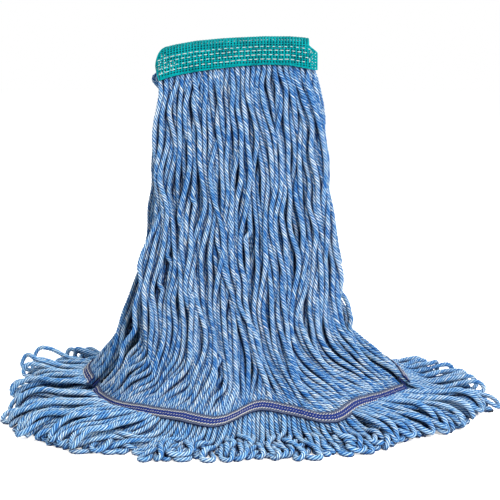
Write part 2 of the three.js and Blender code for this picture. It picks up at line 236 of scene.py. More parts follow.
# ---- Laying the flap cords ---------------------------------------------------------------
def wander(flap, draw, across, down):
    """Places and heights off the sheet for every cord: clumps, partings and layers."""
    seed = flap.lay_seed
    half = np.interp(down, DOWN, HALF_WIDTHS)
    side_mm = across * half
    down_mm = down * FLAP_LENGTH
    drift = Noise(seed + 1, 9, 1 / 60.0, 1 / 22.0)
    swell = Noise(seed + 2, 8, 1 / 55.0, 1 / 25.0)
    clump = Noise(seed + 3, 12, 1 / 15.0, 1 / 6.5)
    clump.waves[:, 1] *= 0.16
    strand = Noise(seed + 4, 9, 1 / 9.0, 1 / 4.5)
    strand.waves[:, 1] *= 0.25
    loose = smooth(down / 0.07) * smooth((1.035 - down) / 0.16)      # 0 where the cords are held
    sway = (3.0 * drift(side_mm, down_mm * 0.7) + 2.3 * clump(side_mm, down_mm)
            + 1.4 * strand(side_mm, down_mm))
    for middle, start, end, width in flap.partings:
        fade = 0.3 * (end - start)
        k = smooth((down - start) / fade) * smooth((end - down) / fade)
        off = (across - middle) * half
        sway = sway + np.sign(off) * width * bell(off / 13.0) * k
    # every cord wanders a little on its own
    waves = draw.uniform(55, 190, (CORDS, 4))
    phases = draw.uniform(0, 6.28, (CORDS, 4))
    sizes = draw.uniform(0.3, 1.0, (CORDS, 4)) * np.sqrt(waves / 120)
    own = sum(sizes[:, j:j + 1] * np.sin(2 * math.pi * down_mm / waves[:, j:j + 1]
                                         + phases[:, j:j + 1]) for j in range(4))
    calm = 1 - 0.45 * smooth((down - 0.55) / 0.3)
    across = across + (sway * loose + 2.1 * own * loose * calm) / half
    # layers: the cords stack at the band and spread out towards the foot
    layer = np.array([[1, -1, 0, 1, 0, -1][i % 6] for i in range(CORDS)], float)
    layer = layer + draw.uniform(-0.25, 0.25, CORDS)
    waves = draw.uniform(110, 300, (CORDS, 2))
    phases = draw.uniform(0, 6.28, (CORDS, 2))
    dive = (np.sin(2 * math.pi * down_mm / waves[:, :1] + phases[:, :1])
            + 0.7 * np.sin(2 * math.pi * down_mm / waves[:, 1:] + phases[:, 1:]))
    mix = smooth(down / 0.9)
    lift = layer[:, None] * (4.4 * (1 - mix) + 1.6 * mix) + 2.6 * dive * loose
    lift = lift * smooth((1.03 - down) / 0.10) + 1.1 * swell(side_mm * 1.5, down_mm) * loose
    lift = lift * (1 - 0.9 * smooth((down - 0.93) / 0.05))
    return np.clip(across, -1.012, 1.012), lift


def push_apart(flap, paths, sheet, normals, down):
    """Relax the cords until they no longer run into each other."""
    goal = paths.copy()
    touch = 2 * CORD_R * 0.955
    cord = np.arange(CORDS)
    hold = np.clip(0.016 + 0.5 * smooth((down - 0.94) / 0.06), 0, 1)[..., None]
    goal_bends = bends(goal)
    # the thickness of the flap: limits outside and inside the sheet, and near y = 0
    limit_out = np.where(down < 0.085, 3.0 + 4.6 * smooth((down - 0.012) / 0.075),
                         7.6 - 2.0 * smooth((down - 0.6) / 0.3)
                         - 4.8 * smooth((down - 0.925) / 0.05))
    limit_in = np.where(down < 0.05, 5.2, 6.4 - 5.4 * smooth((down - 0.925) / 0.05))
    limit_y = np.minimum(0.8 + CORD_R, flap.sign * sheet[..., 1] - 4.0)
    every, but_last, but_first = slice(None), slice(None, -1), slice(1, None)
    # each point against the points beside it, then against those one ahead and one behind
    passes = ((every, every, 0.30), (but_last, but_first, 0.14), (but_first, but_last, 0.14))
    for _ in range(100):
        for here, there, push in passes:
            apart = paths[:, None, here] - paths[None, :, there]
            dist = np.sqrt((apart ** 2).sum(-1)) + 1e-6
            overlap = np.clip(touch - dist, 0, None)
            overlap[cord, cord] = 0
            paths[:, here] += (apart * (push * overlap / dist)[..., None]).sum(1)
        paths = paths + 0.5 * (bends(paths) - goal_bends)
        paths = paths + hold * (goal - paths)
        lift = ((paths - sheet) * normals).sum(-1)
        paths = paths + normals * (np.clip(lift, -limit_in, limit_out) - lift)[..., None]
        paths[..., 1] = flap.sign * np.maximum(flap.sign * paths[..., 1], limit_y)
    return paths


def lay_flap(flap):
    """Paths (cord, point, xyz) of the flap's cords."""
    draw = np.random.RandomState(flap.lay_seed)
    stations = np.concatenate([[-0.055, -0.03, -0.01], np.linspace(0.012, 1.012, PATH_POINTS - 3)])
    across = np.repeat(PLACES[:, None], PATH_POINTS, 1)
    down = np.repeat(stations[None, :], CORDS, 0)
    if flap is FRONT:
        pull = smooth((down - 0.34) / 0.4) * (1 - smooth((down - 0.84) / 0.17))
        across = across + (np.interp(across, SWEEP_FOOT, SWEEP_MID) - across) * pull
    across, lift = wander(flap, draw, across, down)
    sheet = flap_point(flap, across, down)
    normals = flap_normal(flap, across, down)
    paths = sheet + normals * lift[..., None]
    # the cords at the ends of the band start lower, under its slanted corners
    x = paths[:, 3, 0]
    cut = np.clip((x - 58) / 12, 0, 1) * 9 + np.clip((-92 - x) / 9, 0, 1) * 9
    paths[:, :3, 2] -= cut[:, None] * np.array([1.0, 0.55, 0.2])[None]
    squeeze = 1 - 0.035 * smooth((0.14 - down) / 0.12)
    paths[..., 0] = BAND_MIDDLE + (paths[..., 0] - BAND_MIDDLE) * squeeze
    if flap is REAR:
        # the two leftmost cords bulge out just under the band
        for i, bulge in enumerate((9.5, 6.0)):
            paths[i, :, 0] -= bulge * bell((down[0] - 0.016) / 0.022)
    return push_apart(flap, paths, sheet, normals, down)


def arc_length(path):
    return np.concatenate([[0], np.cumsum(np.linalg.norm(np.diff(path, axis=0), axis=1))])


def respace(path, count):
    """The path at even spacing, and the length at each point."""
    length = arc_length(path)
    even = np.linspace(0, length[-1], count)
    return np.stack([np.interp(even, length, path[:, i]) for i in range(3)], 1), even


def resample(paths, step):
    """Paths at an even spacing close to step, the same count for all, and their lengths."""
    mean = np.linalg.norm(np.diff(paths, axis=1), axis=2).sum(1).mean()
    count = max(8, int(round(mean / step)) + 1)
    spaced = np.empty((len(paths), count, 3))
    lengths = np.empty((len(paths), count))
    k = np.linspace(0, 1, 5)[:-1][None, :, None]
    for i, path in enumerate(paths):
        # Catmull-Rom refinement before even spacing
        ext = np.vstack([2 * path[0] - path[1], path, 2 * path[-1] - path[-2]])
        p_0, p_1, p_2, p_3 = (ext[j:len(ext) - 3 + j][:, None, :] for j in range(4))
        fine = 0.5 * ((2 * p_1) + (-p_0 + p_2) * k + (2 * p_0 - 5 * p_1 + 4 * p_2 - p_3) * k ** 2
                      + (-p_0 + 3 * p_1 - 3 * p_2 + p_3) * k ** 3)
        spaced[i], lengths[i] = respace(np.vstack([fine.reshape(-1, 3), path[-1:]]), count)
    return spaced, lengths


# ---- Fringe: looped ends beyond the tailbands, laid out and settled on the floor ---------
def loop_list(flap):
    """(first cord, layer) of every loop; it ends on the next cord. Layer 0 is the top one."""
    even, odd = range(0, CORDS - 1, 2), range(1, CORDS - 1, 2)
    jobs = [(i, 0) for i in even]
    if flap is FRONT:
        corners = [i for i in even if abs(PLACES[i]) > 0.46]
        jobs += [(i, 1) for i in odd]
        jobs += [(i, 2) for i in corners]
        jobs += [(i, 1) for i in corners]
        jobs += [(i, 0) for i in range(1, 9, 2)]
    else:
        jobs += [(i, 1) for i in odd
                 if PLACES[i] < -0.4 or 0.4 < PLACES[i] < 0.62 or i % 4 == 1]
        jobs += [(i, 2) for i in even
                 if PLACES[i] < -0.62 or (PLACES[i] > 0.62 and i % 4 == 0)]
        jobs += [(i, 2) for i in range(1, 9, 2)]
    return jobs


def draw_loop(flap, draw, place, layer, dist, to_other):
    """Size and pose of one loop."""
    back = flap is REAR
    corner = float(smooth((abs(place) - 0.42) / 0.22))
    tip = float(smooth((abs(place) - 0.80) / 0.15))
    reach = dist * (draw.uniform(0.90, 1.05) if draw.rand() < 0.85 else draw.uniform(0.66, 0.90))
    if layer:
        reach *= draw.uniform(0.90, 1.0)
    if place < -0.80:
        reach *= 0.955
    if place > 0.80 and not back:
        reach *= 1.03
    wave = draw.uniform(38, 75)
    sway = draw.uniform(2.0, 7.0) * (1 - 0.35 * corner)
    phase = draw.uniform(0, 6.28)
    width = draw.uniform(9, 16) if draw.rand() < 0.7 else draw.uniform(16, 26)
    # fans open at the corners: the end cords lean along the rim
    lean = (draw.normal() * (0.19 - 0.10 * corner) * reach
            + to_other * reach * (flap.tip_lean * tip + flap.corner_lean * corner))
    if back and place < -0.86 and layer:
        lean += to_other * reach * 0.03 * layer
    roll = (draw.choice([0, 1, 1, 1, 2]) * math.pi * draw.choice([-1, 1])
            * draw.uniform(0.7, 1.1))
    if corner > 0.5:
        # the front ranges are always drawn, then the rear ones on the rear flap
        levels = [draw.uniform(*span) for span in FRONT.pile]
        if back:
            levels = [draw.uniform(*span) for span in REAR.pile]
        height = levels[layer]
        if back and place >= 0:
            height *= 0.45
        if not back and place < -0.72:
            height *= 1.3
        roll = draw.uniform(0.15, 0.6) * math.pi * draw.choice([-1, 1])
    else:
        height = [draw.uniform(2, 12), draw.uniform(0, 6), 0.0][layer]
    stand = (back and not layer and corner > 0.3 and abs(place) < 0.93
             and draw.rand() < 0.6)
    if not back and not layer and tip > 0.3 and draw.rand() < 0.45:
        # a loop standing open at the rim
        stand = True
        width = draw.uniform(14, 21)
        roll = draw.choice([-1, 1]) * draw.uniform(0.3, 0.5) * math.pi
        height = draw.uniform(2, 9)
        reach = dist * draw.uniform(1.0, 1.07) * (0.95 if place < 0 else 1.0)
    elif stand:
        width = draw.uniform(15, 25 if place < 0 else 20)
        roll = draw.choice([-1, 1]) * draw.uniform(0.38, 0.5) * math.pi
        height = draw.uniform(18, 29) if place < 0 else draw.uniform(6, 11)
    return Flap(corner=corner, reach=reach, wave=wave, sway=sway, phase=phase, width=width,
                lean=lean, roll=roll, height=height, stand=stand)


def loop_path(loop, start, end, out, side):
    """Out from start, round the end of the loop and back to end."""
    reach, width, height, stand = loop.reach, loop.width, loop.height, loop.stand
    leg = np.linspace(0, reach - width / 2, 24)
    arc = np.linspace(0, math.pi, 12)[1:-1]
    run = np.concatenate([leg, reach - width / 2 + width / 2 * np.sin(arc), leg[::-1]])
    lateral = np.concatenate([-np.ones(24), -np.cos(arc), np.ones(24)])
    half_start = 0.5 * abs(((end - start) * side).sum())
    opening = smooth((run / reach - 0.35) / 0.6)
    half = half_start + (width / 2 - half_start) * opening
    roll = loop.roll * smooth((run - 0.35 * reach) / (0.6 * reach))
    offset = lateral * half * np.cos(roll)
    rise = lateral * (CORD_R * 1.1 * smooth(run / 14.0)
                      + 0.35 * half * (1.0 if not stand else 1.9)) * np.sin(roll)
    ramp = smooth((run - 0.25 * reach) / (0.6 * reach))
    curl = (loop.sway * np.sin(2 * math.pi * run / loop.wave + loop.phase) * ramp
            + loop.lean * (run / reach) ** 1.6)
    z_start = 0.5 * (start[2] + end[2])
    if loop.corner > 0.2:
        # a pile: up to its level, then over and down at the end
        crest = reach * (0.60 if not stand else 0.9)
        past = np.clip(run - crest, 0, None) / (reach - crest + 1.0)
        fall = np.sqrt(np.clip(1 - past ** 2, 0, 1))
        level = height * (fall if not stand else 0.65 + 0.35 * fall)
        z = (CORD_R + level + (z_start - CORD_R - level) * bell(run / 24.0)
             - run * bell(run / 9.0))
    else:
        # straight down to the floor, rounded where it lands
        above = z_start - 1.05 * run - (CORD_R + height)
        z = CORD_R + height + 4.0 * np.log1p(np.exp(np.clip(above / 4.0, -30, 30)))
        z = z - height * smooth((run - 0.6 * reach) / (0.4 * reach)) * 0.8
    z = z + rise
    middle = 0.5 * (start + end)
    path = (middle[None, :2] + out[None, :2] * run[:, None]
            + side[None, :2] * (offset + curl)[:, None])
    path = np.concatenate([path, np.maximum(z, CORD_R)[:, None]], 1)
    # start and finish exactly on the two cords
    for point, goal, leg_side in ((0, start, lateral < 0), (-1, end, lateral > 0)):
        off = goal - path[point]
        path = path + off[None, :] * (bell(run / 14.0) * leg_side)[:, None]
    return respace(path, LOOP_POINTS)[0]


def lay_loops(flap, paths):
    """Paths of the loops, their places across the flap and how hard each is pulled down."""
    draw = np.random.RandomState(flap.loop_seed)
    loops, places, pulls = [], [], []
    for cord, layer in loop_list(flap):
        place = 0.5 * (PLACES[cord] + PLACES[cord + 1])
        spot = np.array([place])
        start, end = paths[cord, -2].copy(), paths[cord + 1, -2].copy()
        if layer:
            sink = flap_normal(flap, spot, 1.0)[0] * (1.8 * CORD_R * layer)
            start, end = start - sink, end - sink
            start[2] = max(start[2], CORD_R + 0.5)
            end[2] = max(end[2], CORD_R + 0.5)
        rim_x, rim_y = outline(flap.outer, spot)
        tail_x, tail_y = outline(flap.tail, spot)
        out = np.array([rim_x[0] - tail_x[0], rim_y[0] - tail_y[0], 0.0])
        dist = np.linalg.norm(out)
        out /= dist
        side = np.array([-out[1], out[0], 0.0])
        if ((end - start) * side).sum() < 0:
            side = -side
        to_other = np.sign(-flap.sign * side[1] + 1e-9)
        loop = draw_loop(flap, draw, place, layer, dist, to_other)
        loops.append(loop_path(loop, start, end, out, side))
        places.append(place)
        pulls.append(0.20 * (1 - loop.corner) + (0.03 if loop.stand else 0.07) * loop.corner)
    return np.array(loops), np.array(places), np.array(pulls)


def near_pairs(paths):
    """Index pairs of loop points close enough to touch soon, neighbours on a loop left out."""
    count, points, _ = paths.shape
    loop = np.repeat(np.arange(count), points)
    order = np.tile(np.arange(points), count)
    spots = paths.reshape(-1, 3).astype(np.float32)
    firsts, seconds = [], []
    for i in range(0, len(spots), 700):
        square = ((spots[i:i + 700, None] - spots[None]) ** 2).sum(-1)
        first, second = np.nonzero(square < 12.5 ** 2)
        first = first + i
        neighbour = (loop[first] == loop[second]) & (np.abs(order[first] - order[second]) < 4)
        keep = (second > first) & ~neighbour
        firsts.append(first[keep])
        seconds.append(second[keep])
    return np.concatenate(firsts), np.concatenate(seconds)


def settle(paths, pull, fixed=2, steps=60):
    """Loops pushed apart, dropped on the floor and kept at length; fixed end points stay."""
    count, points, _ = paths.shape
    paths = paths.astype(np.float64).copy()
    segments = np.linalg.norm(np.diff(paths, axis=1), axis=2)
    touch = 2 * CORD_R * 0.97
    free = np.ones((count, points, 1))
    free[:, :fixed] = 0
    free[:, -fixed:] = 0
    soft = np.ones((count, points, 1))
    soft[:, :fixed + 3] = 0.5
    soft[:, -fixed - 3:] = 0.5
    start_bends = bends(paths)
    start_bends[..., 2] *= 0.7
    for step in range(steps):
        if step % 6 == 0:
            first, second = near_pairs(paths)
        paths[..., 2] -= pull[:, None] * free[..., 0] * (0.35 + 0.65 * soft[..., 0])
        spots = paths.reshape(-1, 3)
        apart = spots[first] - spots[second]
        dist = np.sqrt((apart ** 2).sum(1)) + 1e-6
        overlap = np.clip(touch - dist, 0, None)
        push = (0.33 * overlap / dist)[:, None] * apart
        move = np.zeros_like(spots)
        for i in range(3):
            move[:, i] = (np.bincount(first, push[:, i], len(spots))
                          - np.bincount(second, push[:, i], len(spots)))
        paths = paths + np.clip(move, -1.6, 1.6).reshape(paths.shape) * free
        paths = paths + 0.5 * (bends(paths) - start_bends) * free
        for _ in range(2):
            delta = paths[:, 1:] - paths[:, :-1]
            length = np.linalg.norm(delta, axis=2)
            error = ((length - segments) / (length + 1e-9) * 0.5)[..., None] * delta
            paths[:, :-1] += error * 0.6 * free[:, :-1]
            paths[:, 1:] -= error * 0.6 * free[:, 1:]
        paths[..., 2] = np.maximum(paths[..., 2], CORD_R * 0.98)
    return paths


for flap in FLAPS:
    flap.paths = lay_flap(flap)
    flap.loops, flap.loop_places, flap.pulls = lay_loops(flap, flap.paths)
settled = settle(np.concatenate([flap.loops for flap in FLAPS]),
                 np.concatenate([flap.pulls for flap in FLAPS]))
FRONT.loops, REAR.loops = np.split(settled, [len(FRONT.loops)])


# ---- Meshes ------------------------------------------------------------------------------
# A mesh description is (verts, [face arrays, one per block], {uv name: corner values}).
def make_object(name, mesh, material):
    verts, faces, uvs = mesh
    data = bpy.data.meshes.new(name)
    data.vertices.add(len(verts))
    data.vertices.foreach_set("co", ((verts + ORIGIN) / 1000.0).astype(np.float32).ravel())
    corners = np.concatenate([block.ravel() for block in faces]).astype(np.int32)
    sizes = np.concatenate([np.full(len(block), block.shape[1]) for block in faces])
    starts = np.concatenate([[0], np.cumsum(sizes)[:-1]]).astype(np.int32)
    data.loops.add(len(corners))
    data.loops.foreach_set("vertex_index", corners)
    data.polygons.add(len(sizes))
    data.polygons.foreach_set("loop_start", starts)
    data.polygons.foreach_set("use_smooth", np.ones(len(sizes), bool))
    for key, values in uvs.items():
        data.uv_layers.new(name=key).data.foreach_set("uv", values.astype(np.float32).ravel())
    data.update(calc_edges=True)
    data.validate()
    made = bpy.data.objects.new(name, data)
    bpy.context.scene.collection.objects.link(made)
    made.data.materials.append(material)
    return made


def join(parts):
    """Several mesh descriptions as one, with faces grouped by corner count."""
    grouped, base = {}, 0
    for verts, faces, uvs in parts:
        at = 0
        for block in faces:
            cut = {name: values[at:at + block.size] for name, values in uvs.items()}
            grouped.setdefault(block.shape[1], []).append((block + base, cut))
            at += block.size
        base += len(verts)
    groups = [grouped[size] for size in sorted(grouped)]
    faces = [np.concatenate([block for block, _ in group]) for group in groups]
    uvs = {name: np.concatenate([cut[name] for group in groups for _, cut in group])
           for name in parts[0][2]}
    return np.concatenate([part[0] for part in parts]), faces, uvs


def tube_mesh(rings, lengths, uids, slots, strips):
    """Closed tubes through rings (tube, ring, side, xyz).

    UV "yarn" is (metres along, turn + 4 * uid); "OFBake" gives each tube one of the strips.
    """
    tubes, count, sides = rings.shape[:3]
    ids = np.arange(tubes * count * sides).reshape(tubes, count, sides)
    following = np.roll(ids, -1, axis=2)
    quads = np.stack([ids[:, :-1], following[:, :-1], following[:, 1:], ids[:, 1:]], -1)
    turns = np.arange(sides + 1) / sides

    def unwrap(along, cap_ends, seam, per_turn):
        around = seam[:, None] + per_turn * turns
        shape = (tubes, count - 1, sides)
        left = np.broadcast_to(along[:, :-1, None], shape)
        right = np.broadcast_to(along[:, 1:, None], shape)
        low = np.broadcast_to(around[:, None, :-1], shape)
        high = np.broadcast_to(around[:, None, 1:], shape)
        corners = ((left, low), (left, high), (right, high), (right, low))
        walls = np.stack([np.stack(corner, -1) for corner in corners], 3).reshape(-1, 2)
        caps = [np.stack([np.broadcast_to(end, (tubes, sides)), around[:, :-1]], -1)
                for end in cap_ends]
        return np.concatenate([walls] + [cap.reshape(-1, 2) for cap in caps])

    metres = lengths / 1000.0
    uvs = {"yarn": unwrap(metres, (metres[:, :1], metres[:, -1:]), uids * 4.0, 1.0),
           "OFBake": unwrap(np.linspace(0.002, 0.998, count)[None], (0.0015, 0.9985),
                            (slots + 0.06) / strips, 0.88 / strips)}
    return rings.reshape(-1, 3), [quads.reshape(-1, 4), ids[:, 0, ::-1], ids[:, -1]], uvs


def cross_axes(paths):
    """Normals and binormals along the paths, by parallel transport."""
    tangent = np.empty_like(paths)
    tangent[:, 1:-1] = paths[:, 2:] - paths[:, :-2]
    tangent[:, 0] = paths[:, 1] - paths[:, 0]
    tangent[:, -1] = paths[:, -1] - paths[:, -2]
    tangent /= np.linalg.norm(tangent, axis=2, keepdims=True) + 1e-12
    carried = np.zeros((len(paths), 3))
    carried[:, 0] = 1.0
    carried[np.abs((tangent[:, 0] * carried).sum(1)) > 0.9] = (0, 0, 1)
    normals = np.empty_like(paths)
    for i in range(paths.shape[1]):
        along = (carried * tangent[:, i]).sum(1, keepdims=True)
        carried = carried - tangent[:, i] * along
        carried /= np.linalg.norm(carried, axis=1, keepdims=True) + 1e-12
        normals[:, i] = carried
    return normals, np.cross(tangent, normals)


def cord_set(paths, step, seed, first_uid, sides=15, depth=0.30, pinch=(0, 0)):
    """Twisted cords along paths; depth is the groove between plies, pinch narrows the ends."""
    draw = np.random.RandomState(seed)
    paths, lengths = resample(paths, step)
    count = len(paths)
    radii = np.empty(lengths.shape)
    for i, length in enumerate(lengths):
        swell = Noise(seed * 131 + i, 5, 30.0, 160.0)
        radii[i] = CORD_R * draw.uniform(0.94, 1.06) * (1 + 0.045 * swell(length / 1000.0))
        radii[i] *= 1 - 0.15 * (pinch[0] * bell(length / 10.0)
                                + pinch[1] * bell((length[-1] - length) / 14.0))
    phases = draw.uniform(0, 6.28, count)
    plies = np.arange(sides) / sides * PLIES
    profile = 1.0 - depth * (1 - np.abs(np.cos(math.pi * plies)) ** 0.9)
    normals, binormals = cross_axes(paths)
    corner = np.arange(sides) * 2 * math.pi / sides
    angle = corner[None, None, :] + TWIST * lengths[..., None] + phases[:, None, None]
    radius = radii[..., None] * profile[None, None, :]
    rings = (paths[:, :, None, :] + (np.cos(angle) * radius)[..., None] * normals[:, :, None, :]
             + (np.sin(angle) * radius)[..., None] * binormals[:, :, None, :])
    order = np.arange(count)
    return tube_mesh(rings, lengths, first_uid + order, order, count)


def stack_sets(lower, upper, lower_count, upper_count):
    """Two cord sets in one mesh, their OFBake strips one above the other."""
    share = lower_count / (lower_count + upper_count)
    lower[2]["OFBake"] = lower[2]["OFBake"] * [1, share]
    upper[2]["OFBake"] = upper[2]["OFBake"] * [1, 1 - share] + [0, share]
    return join([lower, upper])


def ribbon(path, normals, width, thick, slot, strips, uid=None, sides=8, power=3.0):
    """One flattened tube along path, facing normals; power squares its section."""
    normals = np.asarray(normals, float)
    tangent = np.gradient(path, axis=0)
    tangent /= np.linalg.norm(tangent, axis=1, keepdims=True) + 1e-12
    facing = normals - tangent * (normals * tangent).sum(1, keepdims=True)
    facing /= np.linalg.norm(facing, axis=1, keepdims=True) + 1e-12
    sideways = np.cross(tangent, facing)
    angle = (np.arange(sides) + 0.5) * 2 * math.pi / sides
    cosine, sine = np.cos(angle), np.sin(angle)
    square = (np.abs(cosine) ** power + np.abs(sine) ** power) ** (-1 / power)
    rings = (path[:, None] + sideways[:, None] * (cosine * square)[None, :, None] * width / 2
             + facing[:, None] * (sine * square)[None, :, None] * thick / 2)
    return tube_mesh(rings[None], arc_length(path)[None],
                     np.array([slot if uid is None else uid]), np.array([slot]), strips)


def points(x, y, z):
    return np.stack(np.broadcast_arrays(x, y, z), -1)


# ---- Materials ---------------------------------------------------------------------------
def srgb(red, green, blue):
    """Linear colour from 0..255 sRGB."""
    return tuple((c / 12.92 if c <= 0.04045 else ((c + 0.055) / 1.055) ** 2.4)
                 for c in (red / 255, green / 255, blue / 255))


class Shader:
    """A Principled material and short ways to add nodes; each returns an output socket."""

    def __init__(self, name):
        self.material = bpy.data.materials.new(name)
        self.material.use_nodes = True
        self.tree = self.material.node_tree
        self.tree.nodes.clear()
        output = self.new("ShaderNodeOutputMaterial")
        self.bsdf = self.new("ShaderNodeBsdfPrincipled")
        self.tree.links.new(self.bsdf.outputs[0], output.inputs[0])

    def new(self, kind, **settings):
        node = self.tree.nodes.new(kind)
        for key, value in settings.items():
            setattr(node, key, value)
        return node

    def feed(self, socket, value):
        """Link a socket, or set a number or colour."""
        if hasattr(value, "is_linked"):
            self.tree.links.new(value, socket)
        else:
            socket.default_value = (*value, 1) if isinstance(value, tuple) else value

    def math(self, operation, *values):
        node = self.new("ShaderNodeMath", operation=operation)
        for socket, value in zip(node.inputs, values):
            self.feed(socket, value)
        return node.outputs[0]

    def mul(self, first, second):
        return self.math("MULTIPLY", first, second)

    def add(self, first, second):
        return self.math("ADD", first, second)

    def half_cosine(self, angle):
        """Cosine of the angle, moved to 0..1."""
        return self.math("MULTIPLY_ADD", self.math("COSINE", angle), 0.5, 0.5)

    def ramp(self, factor, stops):
        node = self.new("ShaderNodeValToRGB")
        elements = node.color_ramp.elements
        while len(elements) < len(stops):
            elements.new(0.5)
        for element, (position, color) in zip(elements, stops):
            element.position = position
            element.color = (*color, 1)
        self.feed(node.inputs[0], factor)
        return node.outputs[0]

    def mix(self, factor, first, second):
        node = self.new("ShaderNodeMix", data_type="RGBA")
        for i, value in ((0, factor), (6, first), (7, second)):
            self.feed(node.inputs[i], value)
        return node.outputs[2]

    def combine(self, *values):
        node = self.new("ShaderNodeCombineXYZ")
        for socket, value in zip(node.inputs, values):
            self.feed(socket, value)
        return node.outputs[0]

    def noise(self, vector, scale, detail, rough, seed=None):
        """Noise; a seed socket makes it four-dimensional."""
        node = self.new("ShaderNodeTexNoise", noise_dimensions="3D" if seed is None else "4D")
        self.feed(node.inputs["Vector"], vector)
        node.inputs["Scale"].default_value = scale
        node.inputs["Detail"].default_value = detail
        node.inputs["Roughness"].default_value = rough
        if seed is not None:
            self.feed(node.inputs["W"], seed)
        return node.outputs[0]

    def bump(self, height, strength, distance):
        node = self.new("ShaderNodeBump")
        node.inputs["Strength"].default_value = strength
        node.inputs["Distance"].default_value = distance
        self.feed(node.inputs["Height"], height)
        return node.outputs[0]

    def shade(self, color, painted_shade_color, distance, power):
        """Painted shade in the gaps: the colour goes towards the shade colour where a point is
        closed in, over a few millimetres, as ambient occlusion finds it.
        """
        node = self.new("ShaderNodeAmbientOcclusion", samples=4)
        node.inputs["Distance"].default_value = distance
        open_part = self.math("POWER", node.outputs["AO"], power)
        return self.mix(self.math("SUBTRACT", 1.0, open_part), color, painted_shade_color)

    def yarn_uv(self):
        """Metres along and the second coordinate of the "yarn" UV map."""
        uv_map = self.new("ShaderNodeUVMap", uv_map="yarn").outputs[0]
        split = self.new("ShaderNodeSeparateXYZ")
        self.feed(split.inputs[0], uv_map)
        return split.outputs[0], split.outputs[1]

    def object_place(self):
        return self.new("ShaderNodeTexCoord").outputs["Object"]

    def finish(self, color, normal, **values):
        self.feed(self.bsdf.inputs["Base Color"], color)
        self.feed(self.bsdf.inputs["Normal"], normal)
        for key, value in values.items():
            self.bsdf.inputs[key.replace("_", " ")].default_value = value
        return self.material


# fibre colours from the darkest to the palest, sRGB
HEATHER = ((16, 68, 136), (36, 102, 170), (76, 138, 192), (156, 192, 216), (220, 228, 230))
# a paler copy for the looped ends, painted light
LIT_LOOP_HEATHER = ((34, 96, 168), (62, 130, 200), (106, 170, 220), (172, 210, 234), (214, 230, 240))
# a darker copy of the loop colours for the right fringe, painted shade
SHADED_RIGHT_HEATHER = ((31, 89, 158), (57, 121, 188), (97, 157, 207), (158, 195, 222), (202, 219, 232))
HEATHER_STOPS = (0.35, 0.43, 0.49, 0.55, 0.63)      # ramp positions of the five colours


def yarn_material(name, colors=HEATHER, shadow=0.0):
    sh = Shader(name)
    metres, coded = sh.yarn_uv()
    uid = sh.math("FLOOR", sh.math("DIVIDE", coded, 4.0))
    turn = sh.math("SUBTRACT", coded, sh.mul(uid, 4.0))
    angle = sh.mul(turn, 2 * math.pi)
    cosine, sine = sh.math("COSINE", angle), sh.math("SINE", angle)
    seed = sh.mul(uid, 3.717)

    def fibres(along, around, **noise):
        vector = sh.combine(sh.mul(metres, along), sh.mul(cosine, around), sh.mul(sine, around))
        return sh.noise(vector, seed=seed, **noise)

    # fibres: long along the ply, fine across it
    coarse = fibres(along=105.0, around=2.1, scale=1.5, detail=2.0, rough=0.6)
    fine = fibres(along=300.0, around=6.0, scale=1.0, detail=2.0, rough=0.6)
    slow = fibres(along=9.0, around=0.4, scale=1.0, detail=1.0, rough=0.5)
    # every ply carries its own share of white, changing slowly along the cord
    ply = sh.math("FLOOR", sh.add(sh.mul(turn, float(PLIES)), 0.5))
    ply_vector = sh.combine(sh.mul(metres, 55.0), sh.mul(ply, 7.31), sh.mul(uid, 3.3))
    ply_white = sh.noise(ply_vector, scale=1.0, detail=1.0, rough=0.5, seed=seed)
    heather = sh.add(sh.mul(coarse, 0.45), sh.mul(fine, 0.40))
    heather = sh.add(heather, sh.mul(ply_white, 0.30))
    slow_weight, darken = 0.22, -0.19
    heather = sh.add(heather, sh.math("MULTIPLY_ADD", slow, slow_weight, darken))
    # painted highlight: the crest of each ply is a little paler
    crest = sh.math("COSINE", sh.mul(angle, float(PLIES)))
    heather = sh.add(heather, sh.mul(crest, 0.05))
    color = sh.ramp(heather, [(at, srgb(*c)) for at, c in zip(HEATHER_STOPS, colors)])
    # painted shade: the valley between two plies is mixed towards dark blue
    ply_gap_shade = sh.math("POWER", sh.math("MULTIPLY_ADD", crest, -0.5, 0.5), 1.5)
    color = sh.mix(sh.mul(ply_gap_shade, 0.78), color, srgb(12, 54, 116))
    # painted shadow: a darker copy of the yarn, for cords that lie in shade
    if shadow:
        color = sh.mix(shadow, color, srgb(6, 22, 54))
    # painted shade: the yarn darkens towards deep navy where other cords close it in
    color = sh.shade(color, painted_shade_color=srgb(2, 22, 74), distance=0.0075, power=1.35)
    height = sh.add(sh.mul(fine, 0.6), sh.mul(crest, 0.6))
    return sh.finish(color, sh.bump(height, strength=0.7, distance=0.0006), Roughness=0.9,
                     Sheen_Weight=0.06, Sheen_Roughness=0.5, Specular_IOR_Level=0.1)


def coated_material(name, base, dark):
    """Coated mesh: a mottled colour over fine grain."""
    sh = Shader(name)
    place = sh.object_place()
    grain = sh.noise(place, scale=900.0, detail=3.0, rough=0.6)
    patches = sh.noise(place, scale=60.0, detail=2.0, rough=0.5)
    factor = sh.add(sh.mul(grain, 0.6), sh.mul(patches, 0.4))
    pale = tuple(min(1, c * 1.25) for c in base)
    color = sh.ramp(factor, [(0.36, dark), (0.52, base), (0.68, pale)])
    normal = sh.bump(grain, strength=0.35, distance=0.0003)
    # painted shade: the mesh darkens towards a near-black teal where it is closed in
    color = sh.shade(color, painted_shade_color=tuple(c * 0.12 for c in dark), distance=0.004, power=1.2)
    return sh.finish(color, normal, Roughness=0.6, Specular_IOR_Level=0.04)


def thread_material(name, pale, dark):
    """Sewing thread with a 1.1 mm twist."""
    sh = Shader(name)
    metres, turn = sh.yarn_uv()
    # painted shade: the thread darkens in the grooves of its twist, in step with the bump
    twist = sh.half_cosine(sh.add(sh.mul(metres, 2 * math.pi / 0.0011),
                                  sh.mul(turn, 2 * math.pi)))
    color = sh.mix(twist, dark, pale)
    return sh.finish(color, sh.bump(twist, strength=0.4, distance=0.0002),
                     Roughness=0.55, Specular_IOR_Level=0.35)


